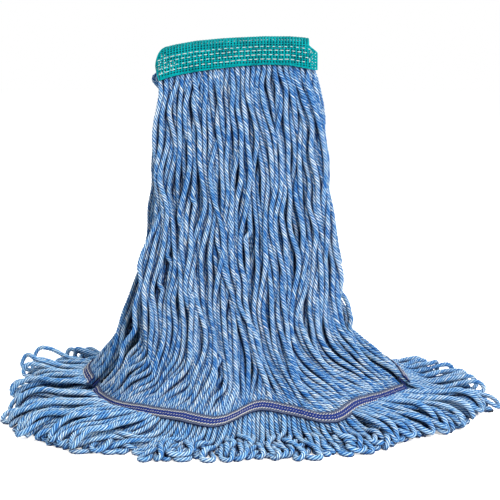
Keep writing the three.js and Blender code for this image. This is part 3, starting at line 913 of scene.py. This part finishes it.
def tape_material(name):
    """Woven tape: blue in the middle, grey borders, dark rims."""
    sh = Shader(name)
    metres, width = sh.yarn_uv()      # width runs 0..1 across the tape
    off_middle = sh.math("ABSOLUTE", sh.math("SUBTRACT", width, 0.5))
    fuzz = sh.noise(sh.object_place(), scale=700.0, detail=2.0, rough=0.6)
    border = sh.math("GREATER_THAN", off_middle, 0.29)
    rim = sh.math("GREATER_THAN", off_middle, 0.465)
    color = sh.mix(border, srgb(14, 34, 108), srgb(84, 90, 102))
    color = sh.mix(rim, color, srgb(22, 30, 74))
    warp = sh.half_cosine(sh.mul(width, 2 * math.pi * 15))
    weft = sh.half_cosine(sh.mul(metres, 2 * math.pi / 0.0009))
    weave = sh.mul(warp, weft)
    # painted shade: the colour darkens in the gaps between the woven threads, where the bump is
    # low
    weave_gap_shade = sh.mul(sh.math("SUBTRACT", 1.0, weave), 0.40)
    color = sh.mix(weave_gap_shade, color, srgb(30, 44, 88))
    color = sh.mix(sh.mul(fuzz, 0.12), color, srgb(96, 120, 168))
    # painted shade: the tape darkens towards near-black blue where it is closed in
    color = sh.shade(color, painted_shade_color=srgb(10, 20, 50), distance=0.004, power=1.0)
    height = sh.add(weave, sh.mul(fuzz, 0.4))
    return sh.finish(color, sh.bump(height, strength=0.6, distance=0.0003),
                     Roughness=0.85, Specular_IOR_Level=0.15)


YARN = yarn_material("yarn_heather")
# painted light: the looped ends get a paler copy of the yarn colours than the cords above the
# tailband; painted shade: the right fringe gets a darker copy of those loop colours
LIT_LOOP_YARN = yarn_material("yarn_heather_loops", LIT_LOOP_HEATHER)
SHADED_RIGHT_LOOP_YARN = yarn_material("yarn_heather_loops_right", SHADED_RIGHT_HEATHER)
TEAL = coated_material("coated_mesh_teal", base=srgb(0, 141, 145), dark=srgb(0, 100, 107))
# a darker copy of the teal for the tapes inside the fold, painted shade
SHADED_INNER_TEAL = coated_material("coated_mesh_inner", base=srgb(10, 130, 136), dark=srgb(2, 90, 96))
WHITE_THREAD = thread_material("stitch_white", pale=srgb(214, 222, 218), dark=srgb(150, 172, 170))
# painted shadow: the cords turning over inside the fold get a darker copy of the yarn
SHADED_FOLD_YARN = yarn_material("yarn_inside_fold", shadow=0.65)
TAILBAND = tape_material("tailband_weave")
CREAM_THREAD = thread_material("zigzag_cream", pale=srgb(222, 218, 206), dark=srgb(150, 150, 150))


# ---- Flap cords --------------------------------------------------------------------------
GROUP_HANKS = ((1, 2), (3, 4), (5,), (6, 7))      # frame hanks that each group stands for
EVERY_THIRD = (np.arange(GROUP_CORDS) % 3 == 0)[:, None]


def under_layer(flap, group):
    """Paths of the cords beneath the outer ones; every third lies on the inner face."""
    first = group * GROUP_CORDS
    across, down = np.meshgrid(PLACES[first:first + GROUP_CORDS], np.linspace(0.05, 1.0, 40),
                               indexing="ij")
    # only every third cord runs up to the band; the others fill in where the flap thins out
    down = np.where(EVERY_THIRD, down, 0.30 + 0.70 * (down - 0.05) / 0.95)
    stray = Noise(900 + group, 6, 0.5, 1.6)
    across = (across + 0.012 * stray(across * 9, down * 9)) * 0.968
    sink = (2.1 * CORD_R + 4.2 * (1 - smooth(down / 0.9))
            + EVERY_THIRD * 1.0 * (4.6 * smooth((down - 0.03) / 0.10)
                                   - 2.6 * smooth((down - 0.86) / 0.12)))
    sheet = flap_point(flap, across, down)
    low = sheet - flap_normal(flap, across, down) * sink[..., None]
    squeeze = 1 - 0.05 * smooth((0.2 - down) / 0.15)
    low[..., 0] = BAND_MIDDLE + (low[..., 0] - BAND_MIDDLE) * squeeze
    limit = np.minimum(0.6 + CORD_R, flap.sign * sheet[..., 1] - 9.0)
    low[..., 1] = flap.sign * np.maximum(flap.sign * low[..., 1], limit)
    if flap is REAR and group == 0:
        low = np.concatenate([low, loose_cords()])
    low[..., 2] = np.maximum(low[..., 2], CORD_R)
    return low


def loose_cords():
    """Cords from the inside of the rear flap's left corner down to the floor."""
    k = np.linspace(0, 1, 40)[:, None]
    draw = np.random.RandomState(61)
    places = np.linspace(-0.80, -0.20, 61)
    places_y = flap_point(REAR, places, 1.0)[:, 1]
    cords = []
    for i in range(11):
        foot = np.array([-177.5 + 1.25 * i + draw.uniform(-1.5, 1.5),
                         40 + 7.6 * i + draw.uniform(-1.5, 1.5), CORD_R])
        spot = np.array([np.interp(foot[1], places_y, places)])
        top, bend = ((flap_point(REAR, spot, down) - flap_normal(REAR, spot, down) * 8.0)[0]
                     for down in (0.90, 0.97))
        above = foot + [draw.uniform(-1, 2), draw.uniform(-2, 2), 16]
        cords.append((1 - k) ** 3 * top + 3 * k * (1 - k) ** 2 * bend
                     + 3 * k ** 2 * (1 - k) * above + k ** 3 * foot)
    return np.array(cords)


def flap_group(flap, group):
    first = group * GROUP_CORDS
    outer = cord_set(flap.paths[first:first + GROUP_CORDS], flap.cord_step,
                     seed=flap.cord_seed + group, first_uid=first + flap.first_uid, pinch=(0, 1))
    low = under_layer(flap, group)
    inside = np.array([i < GROUP_CORDS and i % 3 == 0 for i in range(len(low))])
    face = cord_set(low[inside], 3.6, seed=740 + group, first_uid=first + 30)
    fill = cord_set(low[~inside], 5.5, seed=700 + group, first_uid=first + 60, sides=10,
                    depth=0.15)
    under = stack_sets(fill, face, (~inside).sum(), inside.sum())
    mesh = stack_sets(outer, under, GROUP_CORDS, len(low))
    made = make_object(f"yarn_flap_{flap.name}_{group + 1}", mesh, YARN)
    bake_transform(made)
    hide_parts(*[f"yarn_hank_{i}_{flap.name}" for i in GROUP_HANKS[group]])
    if group == 0:
        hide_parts(f"yarn_in_band_{flap.name}")


# ---- Fringe objects ----------------------------------------------------------------------
SECTORS = (("left", -1.0, -0.43), ("middle", -0.43, 0.43), ("right", 0.43, 1.0))
joint_list = frame["joints"]
if not isinstance(joint_list, list):      # the frame may hold them as a list or by name
    joint_list = joint_list.values()
JOINTS = {joint["name"]: joint for joint in joint_list}


def fringe(flap, index):
    where, start, end = SECTORS[index]
    piece = flap.first_fringe + index
    picked = flap.loops[(start <= flap.loop_places) & (flap.loop_places < end)]
    mesh = cord_set(picked, 2.6, seed=300 + piece, first_uid=500 + 20 * piece, pinch=(1, 1))
    made = make_object(f"fringe_{flap.name}_{where}", mesh,
                       SHADED_RIGHT_LOOP_YARN if where == "right" else LIT_LOOP_YARN)
    joint = JOINTS[f"{flap.name}_fringe_{where}_flex"]
    out = np.cross((0, 0, 1), np.array(joint["axis"], float))
    out /= np.linalg.norm(out)
    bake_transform(made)
    count = 3 if where == "middle" else 2
    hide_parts(*[f"fringe_{where}_{i + 1}_{flap.name}" for i in range(count)])


for flap in FLAPS:
    for group in range(GROUPS):
        flap_group(flap, group)
    for index in range(len(SECTORS)):
        fringe(flap, index)

# ---- Headband: open mesh tape folded over the yarn ---------------------------------------
# (x stations, z) of the band's top and bottom edges
BAND_TOP = ([-108, -95.6, -91.2, -84.7, -80.3, -58.6, -32.5, -16.3, 15.2, 43.4, 58.6, 62.9, 75],
            [384.5, 390.6, 391.9, 393.6, 394.6, 398.4, 400.9, 401.9, 403.3, 403.2, 402.0,
             401.2, 398.5])
BAND_BOTTOM = ([-108, -98.4, -91.9, -80.0, -54.0, -16.2, 15.1, 43.2, 71.3, 75],
               [353.5, 356.4, 359.1, 362.5, 367.4, 372.0, 374.1, 373.4, 368.2, 367.5])
FOLD_Y, FOLD_Z = 15.0, 7.0       # half axes of the elliptical fold over the top
CORNER_X, CORNER_R = -95.0, 8.0  # the left end turns in past here
RIB_PITCH, ROW_PITCH = 3.25, 2.62
RIB_START = -106.2

fold_angles = np.linspace(0, math.pi / 2, 200)
fold_lengths = np.concatenate([[0], np.cumsum(np.hypot(FOLD_Y * np.diff(np.sin(fold_angles)),
                                                       FOLD_Z * np.diff(np.cos(fold_angles))))])
FOLD_LENGTH = fold_lengths[-1]


def band_top(x):
    return np.interp(x, *BAND_TOP)


def band_bottom(x):
    return np.interp(x, *BAND_BOTTOM)


def band_length(x):
    """Length of tape from the top of the fold to the lower edge."""
    return FOLD_LENGTH + (band_top(x) - FOLD_Z - band_bottom(x))


def band_point(x, drop, lift, sign):
    """Points and normals, drop mm of tape down from the top of the fold, lift mm outwards."""
    x, drop = np.broadcast_arrays(np.asarray(x, float), np.asarray(drop, float))
    top = band_top(x)
    angle = np.interp(np.minimum(drop, FOLD_LENGTH), fold_lengths, fold_angles)
    y = FOLD_Y * np.sin(angle)
    z = top - FOLD_Z * (1 - np.cos(angle))
    normal_y, normal_z = np.sin(angle) / FOLD_Y, np.cos(angle) / FOLD_Z
    size = np.hypot(normal_y, normal_z)
    below = drop > FOLD_LENGTH
    z = np.where(below, top - FOLD_Z - (drop - FOLD_LENGTH), z)
    normal_y = np.where(below, 1.0, normal_y / size)
    normal_z = np.where(below, 0.0, normal_z / size)
    y = y + normal_y * lift
    z = z + normal_z * lift
    turn = np.clip((CORNER_X - x) / CORNER_R, 0, 1.5)
    x_turned = CORNER_X - CORNER_R * np.sin(turn) - lift * np.sin(turn) * 0.6
    turned = x < CORNER_X
    y = y - np.where(turned, CORNER_R * (1 - np.cos(turn)), 0) * np.clip(y / FOLD_Y, 0, 1)
    normals = np.stack([-np.sin(turn), sign * normal_y, normal_z], -1)
    return np.stack([np.where(turned, x_turned, x), sign * y, z], -1), unit(normals)


def left_edge(k):
    """x of the left end, k = 0 at the top of the fold and 1 at the lower edge."""
    return (-104.5 + 13.5 * np.clip(1 - k / 0.60, 0, 1) ** 1.08
            + 6 * np.clip((k - 0.5) / 0.5, 0, 1) ** 1.2)


def right_edge(k):
    return 63.2 + 9.2 * np.clip((k - 0.42) / 0.14, 0, 1)


def mesh_tape(sign):
    """Vertical and crosswise ribs of half the folded tape, with its edges."""
    ribs = []      # x, drop, lift, width, thickness

    def upright(x, drop):
        weave = 0.22 * np.cos(math.pi * (drop - 0.9) / ROW_PITCH)
        ribs.append((x, drop, 0.35 + weave, 1.75, 0.95))

    step = 1.3
    for x in np.append(np.arange(RIB_START, 62.0, RIB_PITCH), 62.4):
        length = band_length(x)
        drop = np.arange(0.0, length + 0.01, step)
        drop = drop[left_edge(drop / length) + 0.7 <= x]
        if len(drop) > 4:
            upright(x, drop)
    # the wider lower part at the right end
    for x in (65.6, 67.8, 70.0, 72.2):
        length = float(band_length(x))
        drop = np.arange(0.40 * length, length, step)
        upright(x, drop[right_edge(drop / length) >= x])
    step = 1.35
    rows = np.concatenate([[0.9, 4.6, 8.3, 11.7, 14.8], np.arange(17.5, 47.0, ROW_PITCH)])
    for row in rows:
        x = np.arange(-106.5, 73.0, step)
        length = band_length(x)
        k = row / length
        x = x[(x >= left_edge(k) + 0.4) & (x <= right_edge(k) - 0.3) & (row <= length - 0.6)]
        for run in np.split(x, np.nonzero(np.diff(x) > 2)[0] + 1):
            if len(run) > 4:
                weave = -0.22 * np.cos(math.pi * (run - RIB_START) / RIB_PITCH)
                weave = weave * (1 if len(ribs) % 2 == 0 else -1)
                ribs.append((run, np.full(len(run), row), 0.3 + weave * 0.6, 1.2, 0.85))
    # selvedge along the lower edge
    x = np.arange(-98.4, 72.7, step)
    for inset in (0.35, 1.25):
        ribs.append((x, band_length(x) - inset, 0.35, 1.1, 1.25))
    # bound edges at the two ends
    k = np.linspace(0, 1.0, 64)
    for x in (left_edge(k) + 0.5, right_edge(k) - 0.2):
        ribs.append((x, k * band_length(x), 0.4, 1.7, 1.15))
    return join([ribbon(*band_point(x, drop, lift, sign), width, thick, i, len(ribs))
                 for i, (x, drop, lift, width, thick) in enumerate(ribs)])


STITCH_ROWS = (0.335, 0.475, 0.635, 0.795)      # share of the band's height, from the top
STITCH_SIZE = 0.82
STITCH_RISE = np.array([-0.9, 0.25, 0.85, 1.0, 0.85, 0.25, -0.9])


def row_drop(x, share):
    top, bottom = band_top(x), band_bottom(x)
    return FOLD_LENGTH + (top - FOLD_Z - (top + (bottom - top) * share))


def stitches(flap):
    draw = np.random.RandomState(flap.stitch_seed)
    sign = flap.sign
    k = np.linspace(-1, 1, 7)
    jobs = []
    for row, share in enumerate(STITCH_ROWS):
        x = -101.5 + draw.uniform(0, 2)
        end = 64.8 if row < 2 else 63.6
        while x < end - 2.4:
            length = draw.uniform(4.5, 5.4)
            gap = draw.uniform(1.1, 1.7)
            if x < -70 and row in (0, 3):
                length, gap = 6.4, 0.5
            along = x + (k + 1) / 2 * length
            drop = row_drop(along, share) + 0.12 * draw.normal()
            jobs.append(band_point(along, drop, 0.25 + 0.62 * STITCH_RISE, sign))
            x += length + gap
    # the turns that join rows 1-2 and 3-4 at the right end
    for x, upper, lower in ((65.2, *STITCH_ROWS[:2]), (64.0, *STITCH_ROWS[2:])):
        upper, lower = row_drop(x, upper), row_drop(x, lower)
        drop = upper + (lower - upper) * (k + 1) / 2
        jobs.append(band_point(x + 0.5 * (1 - k ** 2), drop, 0.25 + 0.6 * STITCH_RISE, sign))
    # two columns in the wider part at the right end
    for x in (67.4, 70.6):
        for share in np.arange(0.44, 0.95, 0.10):
            drop = row_drop(x, share) + 0.36 * k
            jobs.append(band_point(x + 0.1 * draw.normal(), drop, 0.25 + 0.4 * STITCH_RISE, sign))
    # close columns near the left end
    for column, x_column in enumerate((-98.5, -95.4, -92.2, -88.9, -85.6, -82.6)):
        for share in np.arange(0.24, 0.78, 0.085):
            if column > 3 and share < 0.42:
                continue
            if draw.rand() < 0.22:
                continue
            x = x_column + 0.4 * draw.normal()
            drop = row_drop(x, share) + 0.45 * k
            jobs.append(band_point(x, drop, 0.15 + 0.4 * STITCH_RISE, sign))
    return join([ribbon(path, normals, STITCH_SIZE, STITCH_SIZE * 0.8, i, len(jobs),
                        sides=6, power=2.0) for i, (path, normals) in enumerate(jobs)])


INNER_Y = 2.9            # the crosswise ribs of the inner tape lie at this distance from y = 0
INNER_RIB = (1.75, 0.7)  # width and thickness of its vertical ribs
INNER_ROW = (1.2, 0.6)   # and of its crosswise ribs


def inner_tape(sign):
    """The second tape, inside the fold."""
    def span(x):
        return band_top(x) - 8.5, band_bottom(x) + 0.6

    parts = []
    ribs = np.arange(-96.45, 66, RIB_PITCH)
    rows = 9
    total = len(ribs) + rows
    facing = (0, sign, 0)
    for i, x in enumerate(ribs):
        path = points(x, sign * (INNER_Y + 0.2), np.linspace(*span(x), 16))
        parts.append(ribbon(path, facing, *INNER_RIB, i, total))
    x = np.arange(-98, 66, 2.6)
    top, bottom = span(x)
    for i in range(rows):
        path = points(x, sign * INNER_Y, top + (bottom - top) * (i + 0.3) / 8.6)
        parts.append(ribbon(path, facing, *INNER_ROW, len(ribs) + i, total))
    return join(parts)


def inner_fold():
    """The fold that joins the two inner tapes."""
    parts = []
    ribs = np.arange(-93.2, 64, RIB_PITCH)
    row_angles = (0.5, math.pi / 2, math.pi - 0.5)
    total = len(ribs) + len(row_angles)

    def arc(x, angle):
        return points(x, -INNER_Y * np.cos(angle), band_top(x) - 13.6 + 1.3 * np.sin(angle))

    angle = np.linspace(0, math.pi, 9)
    for i, x in enumerate(ribs):
        normals = points(0.0, -np.cos(angle), np.sin(angle))
        parts.append(ribbon(arc(x, angle), normals, *INNER_RIB, i, total))
    x = np.arange(-96, 64, 2.6)
    for i, row_angle in enumerate(row_angles):
        facing = (0, -math.cos(row_angle), math.sin(row_angle))
        parts.append(ribbon(arc(x, row_angle), facing, *INNER_ROW, len(ribs) + i, total))
    return join(parts)


def cords_in_fold():
    """Cords turning over inside the fold, from front to rear."""
    angle = np.linspace(0, math.pi, 17)
    paths = [points(x + 0.5 * np.sin(angle * 2 + i), -7.6 * np.cos(angle),
                    band_top(x) - 9.6 + 4.2 * np.sin(angle))
             for i, x in enumerate(np.linspace(-92, 58, 26))]
    return cord_set(np.stack(paths), 2.1, seed=77, first_uid=900, sides=10)


for flap in FLAPS:
    side = flap.name
    made = make_object(f"headband_tape_{side}", mesh_tape(flap.sign), TEAL)
    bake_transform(made)
    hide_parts(f"headband_panel_outer_{side}", f"end_hem_left_{side}",
                f"end_hem_right_{side}")
    if flap is FRONT:
        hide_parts("headband_fold_outer")
    made = make_object(f"headband_stitching_{side}", stitches(flap), WHITE_THREAD)
    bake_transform(made)
    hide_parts(*[f"stitch_row_{row}_{side}" for row in (1, 2, 3, 4)])
    made = make_object(f"headband_inner_tape_{side}", inner_tape(flap.sign), SHADED_INNER_TEAL)
    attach(made, f"{side}_band")
    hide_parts(f"headband_panel_inner_{side}")

made = make_object("yarn_turn_over", cords_in_fold(), SHADED_FOLD_YARN)
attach(made, "crown")
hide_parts("yarn_fold_core")
made = make_object("headband_inner_fold", inner_fold(), SHADED_INNER_TEAL)
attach(made, "crown")
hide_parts("headband_fold_inner")

# ---- Tailbands: woven tape inside and outside each flap, zigzag stitched -----------------
TAPE_HALF = 5.8
TAPE_LONG, TAPE_WIDE = 460, 13      # grid points along and across the tape
# stitch rows: middle (mm down), pitch, thread size, half height of the zigzag
ZIGZAG_ROWS = ((-3.1, 2.9, 0.78, 0.50), (0.0, 3.0, 0.48, 0.42), (3.1, 2.9, 0.95, 0.50))


def tape_point(flap, across, below, lift):
    """A point below mm under the tailband line and lift mm off the sheet."""
    down = 1 + below / LENGTH_DOWN
    return (flap_point(flap, across, down)
            + flap_normal(flap, across, down) * np.asarray(lift)[..., None])


LENGTH_DOWN = FLAP_LENGTH


def tape_line(flap, inner):
    """The tape's places across the flap, its length, lift and shift at each of them."""
    face = -1 if inner else 1
    # the tape runs from the first cord to the last one
    across = np.linspace(-1.003, 1.003, TAPE_LONG)
    feet = flap.paths[:, -2]
    apart = flap_point(flap, across, 1.0)[:, None, :2] - feet[None, :, :2]
    held = across[np.sqrt((apart ** 2).sum(-1)).min(1) < 8.0]
    across = np.linspace(held[0], held[-1], TAPE_LONG)
    length = arc_length(flap_point(flap, across, 1.0))
    even = np.linspace(0, length[-1], TAPE_LONG)
    across = np.interp(even, length, across)
    # lie on the cords nearest to the line, evened out along the tape
    ends = flap.paths[:, -5:].reshape(-1, 3)
    rel = ends[None] - flap_point(flap, across, 1.0)[:, None]
    rise = (rel * flap_normal(flap, across, 1.0)[:, None]).sum(-1) * face
    beside = (rel ** 2).sum(-1) - rise ** 2
    near = np.maximum(np.where(beside < 7.5 ** 2, rise, -9.0).max(1), 0.0)
    kernel = bell(np.arange(-14, 15) / 6.0)
    kernel /= kernel.sum()
    near = np.convolve(np.pad(near, 14, mode="edge"), kernel, "valid")
    ripple = Noise(flap.ripple_seed + inner, 9, 0.15, 0.8)
    lift = face * (near + CORD_R + 0.35 + 0.25 * ripple(even))
    shift = 0.6 * Noise(75 + inner, 6, 0.02, 0.08)(even, 2.0)
    if flap is FRONT:
        shift = shift - 3.5 * smooth((16.0 - even) / 16.0)
    return across, even, lift, shift


def patch(grid, flip):
    """The four corners of every cell of a grid, in face order."""
    cells = np.stack([grid[:-1, :-1], grid[1:, :-1], grid[1:, 1:], grid[:-1, 1:]], 2)
    return cells[:, :, ::-1] if flip else cells


def uv_patch(along, wide, flip):
    grid = np.stack(np.meshgrid(along, wide, indexing="ij"), -1)
    return patch(grid, flip).reshape(-1, 2)


def tape_mesh(flap, inner, line):
    across, even, lift, shift = line
    face = -1 if inner else 1
    verts = np.empty((2, TAPE_LONG, TAPE_WIDE, 3))
    for j, wide in enumerate(np.linspace(-1, 1, TAPE_WIDE)):
        roll = -0.3 * max(0, abs(wide) - 0.8) / 0.2
        thick = 1.1 - 0.45 * abs(wide) ** 4
        for i, level in enumerate((0.5, -0.5)):
            verts[i, :, j] = tape_point(flap, across, wide * TAPE_HALF + shift,
                                        lift + face * (level * thick + roll))
    ids = np.arange(2 * TAPE_LONG * TAPE_WIDE).reshape(2, TAPE_LONG, TAPE_WIDE)
    flip = (flap.sign > 0) ^ (face < 0)
    metres = even / 1000
    faces, yarn, bake = [], [], []
    # the two broad faces: which, flipped, OFBake range
    for i, turned, bake_range in ((0, flip, (0.02, 0.46)), (1, not flip, (0.50, 0.94))):
        faces.append(patch(ids[i], turned))
        yarn.append(uv_patch(metres, np.linspace(0, 1, TAPE_WIDE), turned))
        bake.append(uv_patch(np.linspace(0.002, 0.998, TAPE_LONG),
                             np.linspace(*bake_range, TAPE_WIDE), turned))
    # the narrow rims: vertices, flipped, metres along, yarn v, OFBake v
    still = np.zeros(TAPE_WIDE)
    for rim, turned, along, yarn_v, bake_v in (
            (ids[:, :, 0], not flip, metres, 0.01, 0.955),
            (ids[:, :, -1], flip, metres, 0.99, 0.97),
            (ids[:, 0], flip, still, 0.5, 0.985),
            (ids[:, -1], not flip, still, 0.5, 0.985)):
        faces.append(patch(rim.T, turned))
        yarn.append(uv_patch(along, [yarn_v, yarn_v], False))
        bake.append(uv_patch(np.linspace(0, 1, len(along)), [bake_v, bake_v + 0.01], False))
    faces = np.concatenate([cells.reshape(-1, 4) for cells in faces])
    bake = np.concatenate(bake) * [1, 0.5] + [0, 0.5 * inner]
    return verts.reshape(-1, 3), [faces], {"yarn": np.concatenate(yarn), "OFBake": bake}


def zigzag(flap, line):
    """Three rows of slanted stitches on the outside of the tailband."""
    across, even, lift, shift = line
    total = sum(int(even[-1] / pitch) for _, pitch, _, _ in ZIGZAG_ROWS) + 4
    k = np.linspace(0, 1, 5)
    parts = []
    for middle, pitch, size, tilt in ZIGZAG_ROWS:
        for i in range(int(even[-1] / pitch)):
            along = i * pitch + 0.3 + (pitch * (0.80 if middle else 0.5)) * k
            below = middle + tilt * (1 - 2 * k)
            place = np.interp(along, even, across)
            path = tape_point(flap, place, below + np.interp(along, even, shift),
                              np.interp(along, even, lift) + 0.42 + 0.25 * np.sin(math.pi * k))
            normals = flap_normal(flap, place, 1 + below / FLAP_LENGTH)
            parts.append(ribbon(path, normals, size, size * 0.7, len(parts), total, uid=i,
                                sides=5, power=2.0))
    return join(parts)


for flap in FLAPS:
    side = flap.name
    lines = [tape_line(flap, inner) for inner in (0, 1)]
    tape = join([tape_mesh(flap, inner, line) for inner, line in enumerate(lines)])
    made = make_object(f"tailband_tape_{side}", tape, TAILBAND)
    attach(made, f"{side}_yarn")
    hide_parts(f"tailband_outer_{side}", f"tailband_inner_{side}")
    made = make_object(f"tailband_zigzag_{side}", zigzag(flap, lines[0]), CREAM_THREAD)
    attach(made, f"{side}_yarn")
    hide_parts(f"tailband_thread_{side}")


# ---- Stage: floor, studio light, camera (metres) -----------------------------------------
def set_inputs(node, values):
    for key, value in values.items():
        node.inputs[key].default_value = value


def make_floor():
    """White floor that glows to the camera outside an ellipse around the mop."""
    half, glow_x, glow_y = 6, 0.25, 0.185
    data = bpy.data.meshes.new("floor")
    data.from_pydata([(-half, -half, 0), (half, -half, 0), (half, half, 0), (-half, half, 0)],
                     [], [(0, 1, 2, 3)])
    floor = bpy.data.objects.new("floor", data)
    bpy.context.scene.collection.objects.link(floor)
    material = bpy.data.materials.new("floor_white")
    material.use_nodes = True
    tree = material.node_tree
    bsdf = tree.nodes["Principled BSDF"]
    set_inputs(bsdf, {"Base Color": (0.86, 0.86, 0.87, 1), "Roughness": 0.9,
                      "Specular IOR Level": 0.1, "Emission Color": (1, 1, 1, 1)})
    light_path = tree.nodes.new("ShaderNodeLightPath")
    place = tree.nodes.new("ShaderNodeTexCoord")
    scaled = tree.nodes.new("ShaderNodeVectorMath")
    scaled.operation = "MULTIPLY"
    scaled.inputs[1].default_value = (1 / glow_x, 1 / glow_y, 0)
    radius = tree.nodes.new("ShaderNodeVectorMath")
    radius.operation = "LENGTH"
    glow = tree.nodes.new("ShaderNodeMapRange")
    set_inputs(glow, {"From Min": 0.82, "From Max": 1.05, "To Min": 0.0, "To Max": 0.7})
    seen = tree.nodes.new("ShaderNodeMath")
    seen.operation = "MULTIPLY"
    for source, target in ((place.outputs["Object"], scaled.inputs[0]),
                           (scaled.outputs[0], radius.inputs[0]),
                           (radius.outputs["Value"], glow.inputs["Value"]),
                           (light_path.outputs["Is Camera Ray"], seen.inputs[0]),
                           (glow.outputs[0], seen.inputs[1]),
                           (seen.outputs[0], bsdf.inputs["Emission Strength"])):
        tree.links.new(source, target)
    data.materials.append(material)


def make_world():
    """White surroundings, at full strength only to the camera."""
    world = bpy.data.worlds.new("studio")
    world.use_nodes = True
    tree = world.node_tree
    background = tree.nodes["Background"]
    background.inputs[0].default_value = (1.0, 1.0, 1.0, 1)
    light_path = tree.nodes.new("ShaderNodeLightPath")
    strength = tree.nodes.new("ShaderNodeMapRange")
    set_inputs(strength, {"To Min": 0.34, "To Max": 1.0})
    tree.links.new(light_path.outputs["Is Camera Ray"], strength.inputs["Value"])
    tree.links.new(strength.outputs[0], background.inputs[1])
    bpy.context.scene.world = world


def area_light(name, place, target, size, power):
    data = bpy.data.lights.new(name, "AREA")
    data.shape = "RECTANGLE"
    data.size, data.size_y = size
    data.energy = power
    light = bpy.data.objects.new(name, data)
    bpy.context.scene.collection.objects.link(light)
    light.location = place
    aim = Vector(target) - Vector(place)
    light.rotation_euler = aim.to_track_quat("-Z", "Y").to_euler()


def make_camera():
    data = bpy.data.cameras.new("camera")
    data.sensor_width = 36.0
    data.lens = 98.208
    camera = bpy.data.objects.new("camera", data)
    bpy.context.scene.collection.objects.link(camera)
    distance, height, pitch_down = 1.5, 0.43, 9.9
    camera.location = (ORIGIN_X, ORIGIN_Y - distance, height)
    camera.rotation_euler = (math.radians(90 - pitch_down), 0, 0)
    bpy.context.scene.camera = camera


make_floor()
make_world()
# name, place, aimed at, size, watts
LIGHTS = (("key", (0.75, -1.75, 1.45), (0, 0, 0.12), (0.8, 0.8), 67),
          ("left", (-1.9, -0.9, 1.1), (0, 0, 0.15), (1.0, 1.2), 3),
          ("top", (0.0, 0.1, 2.3), (0, 0, 0.1), (1.0, 1.0), 18),
          ("rear_left", (-1.2, 1.8, 1.3), (0, 0, 0.2), (1.2, 1.2), 13),
          ("rear_right", (1.5, 1.3, 1.2), (0, 0, 0.2), (1.2, 1.2), 18))
for light_row in LIGHTS:
    area_light(*light_row)
make_camera()
bpy.context.scene.view_settings.view_transform = "Standard"
bpy.context.scene.view_settings.look = "None"
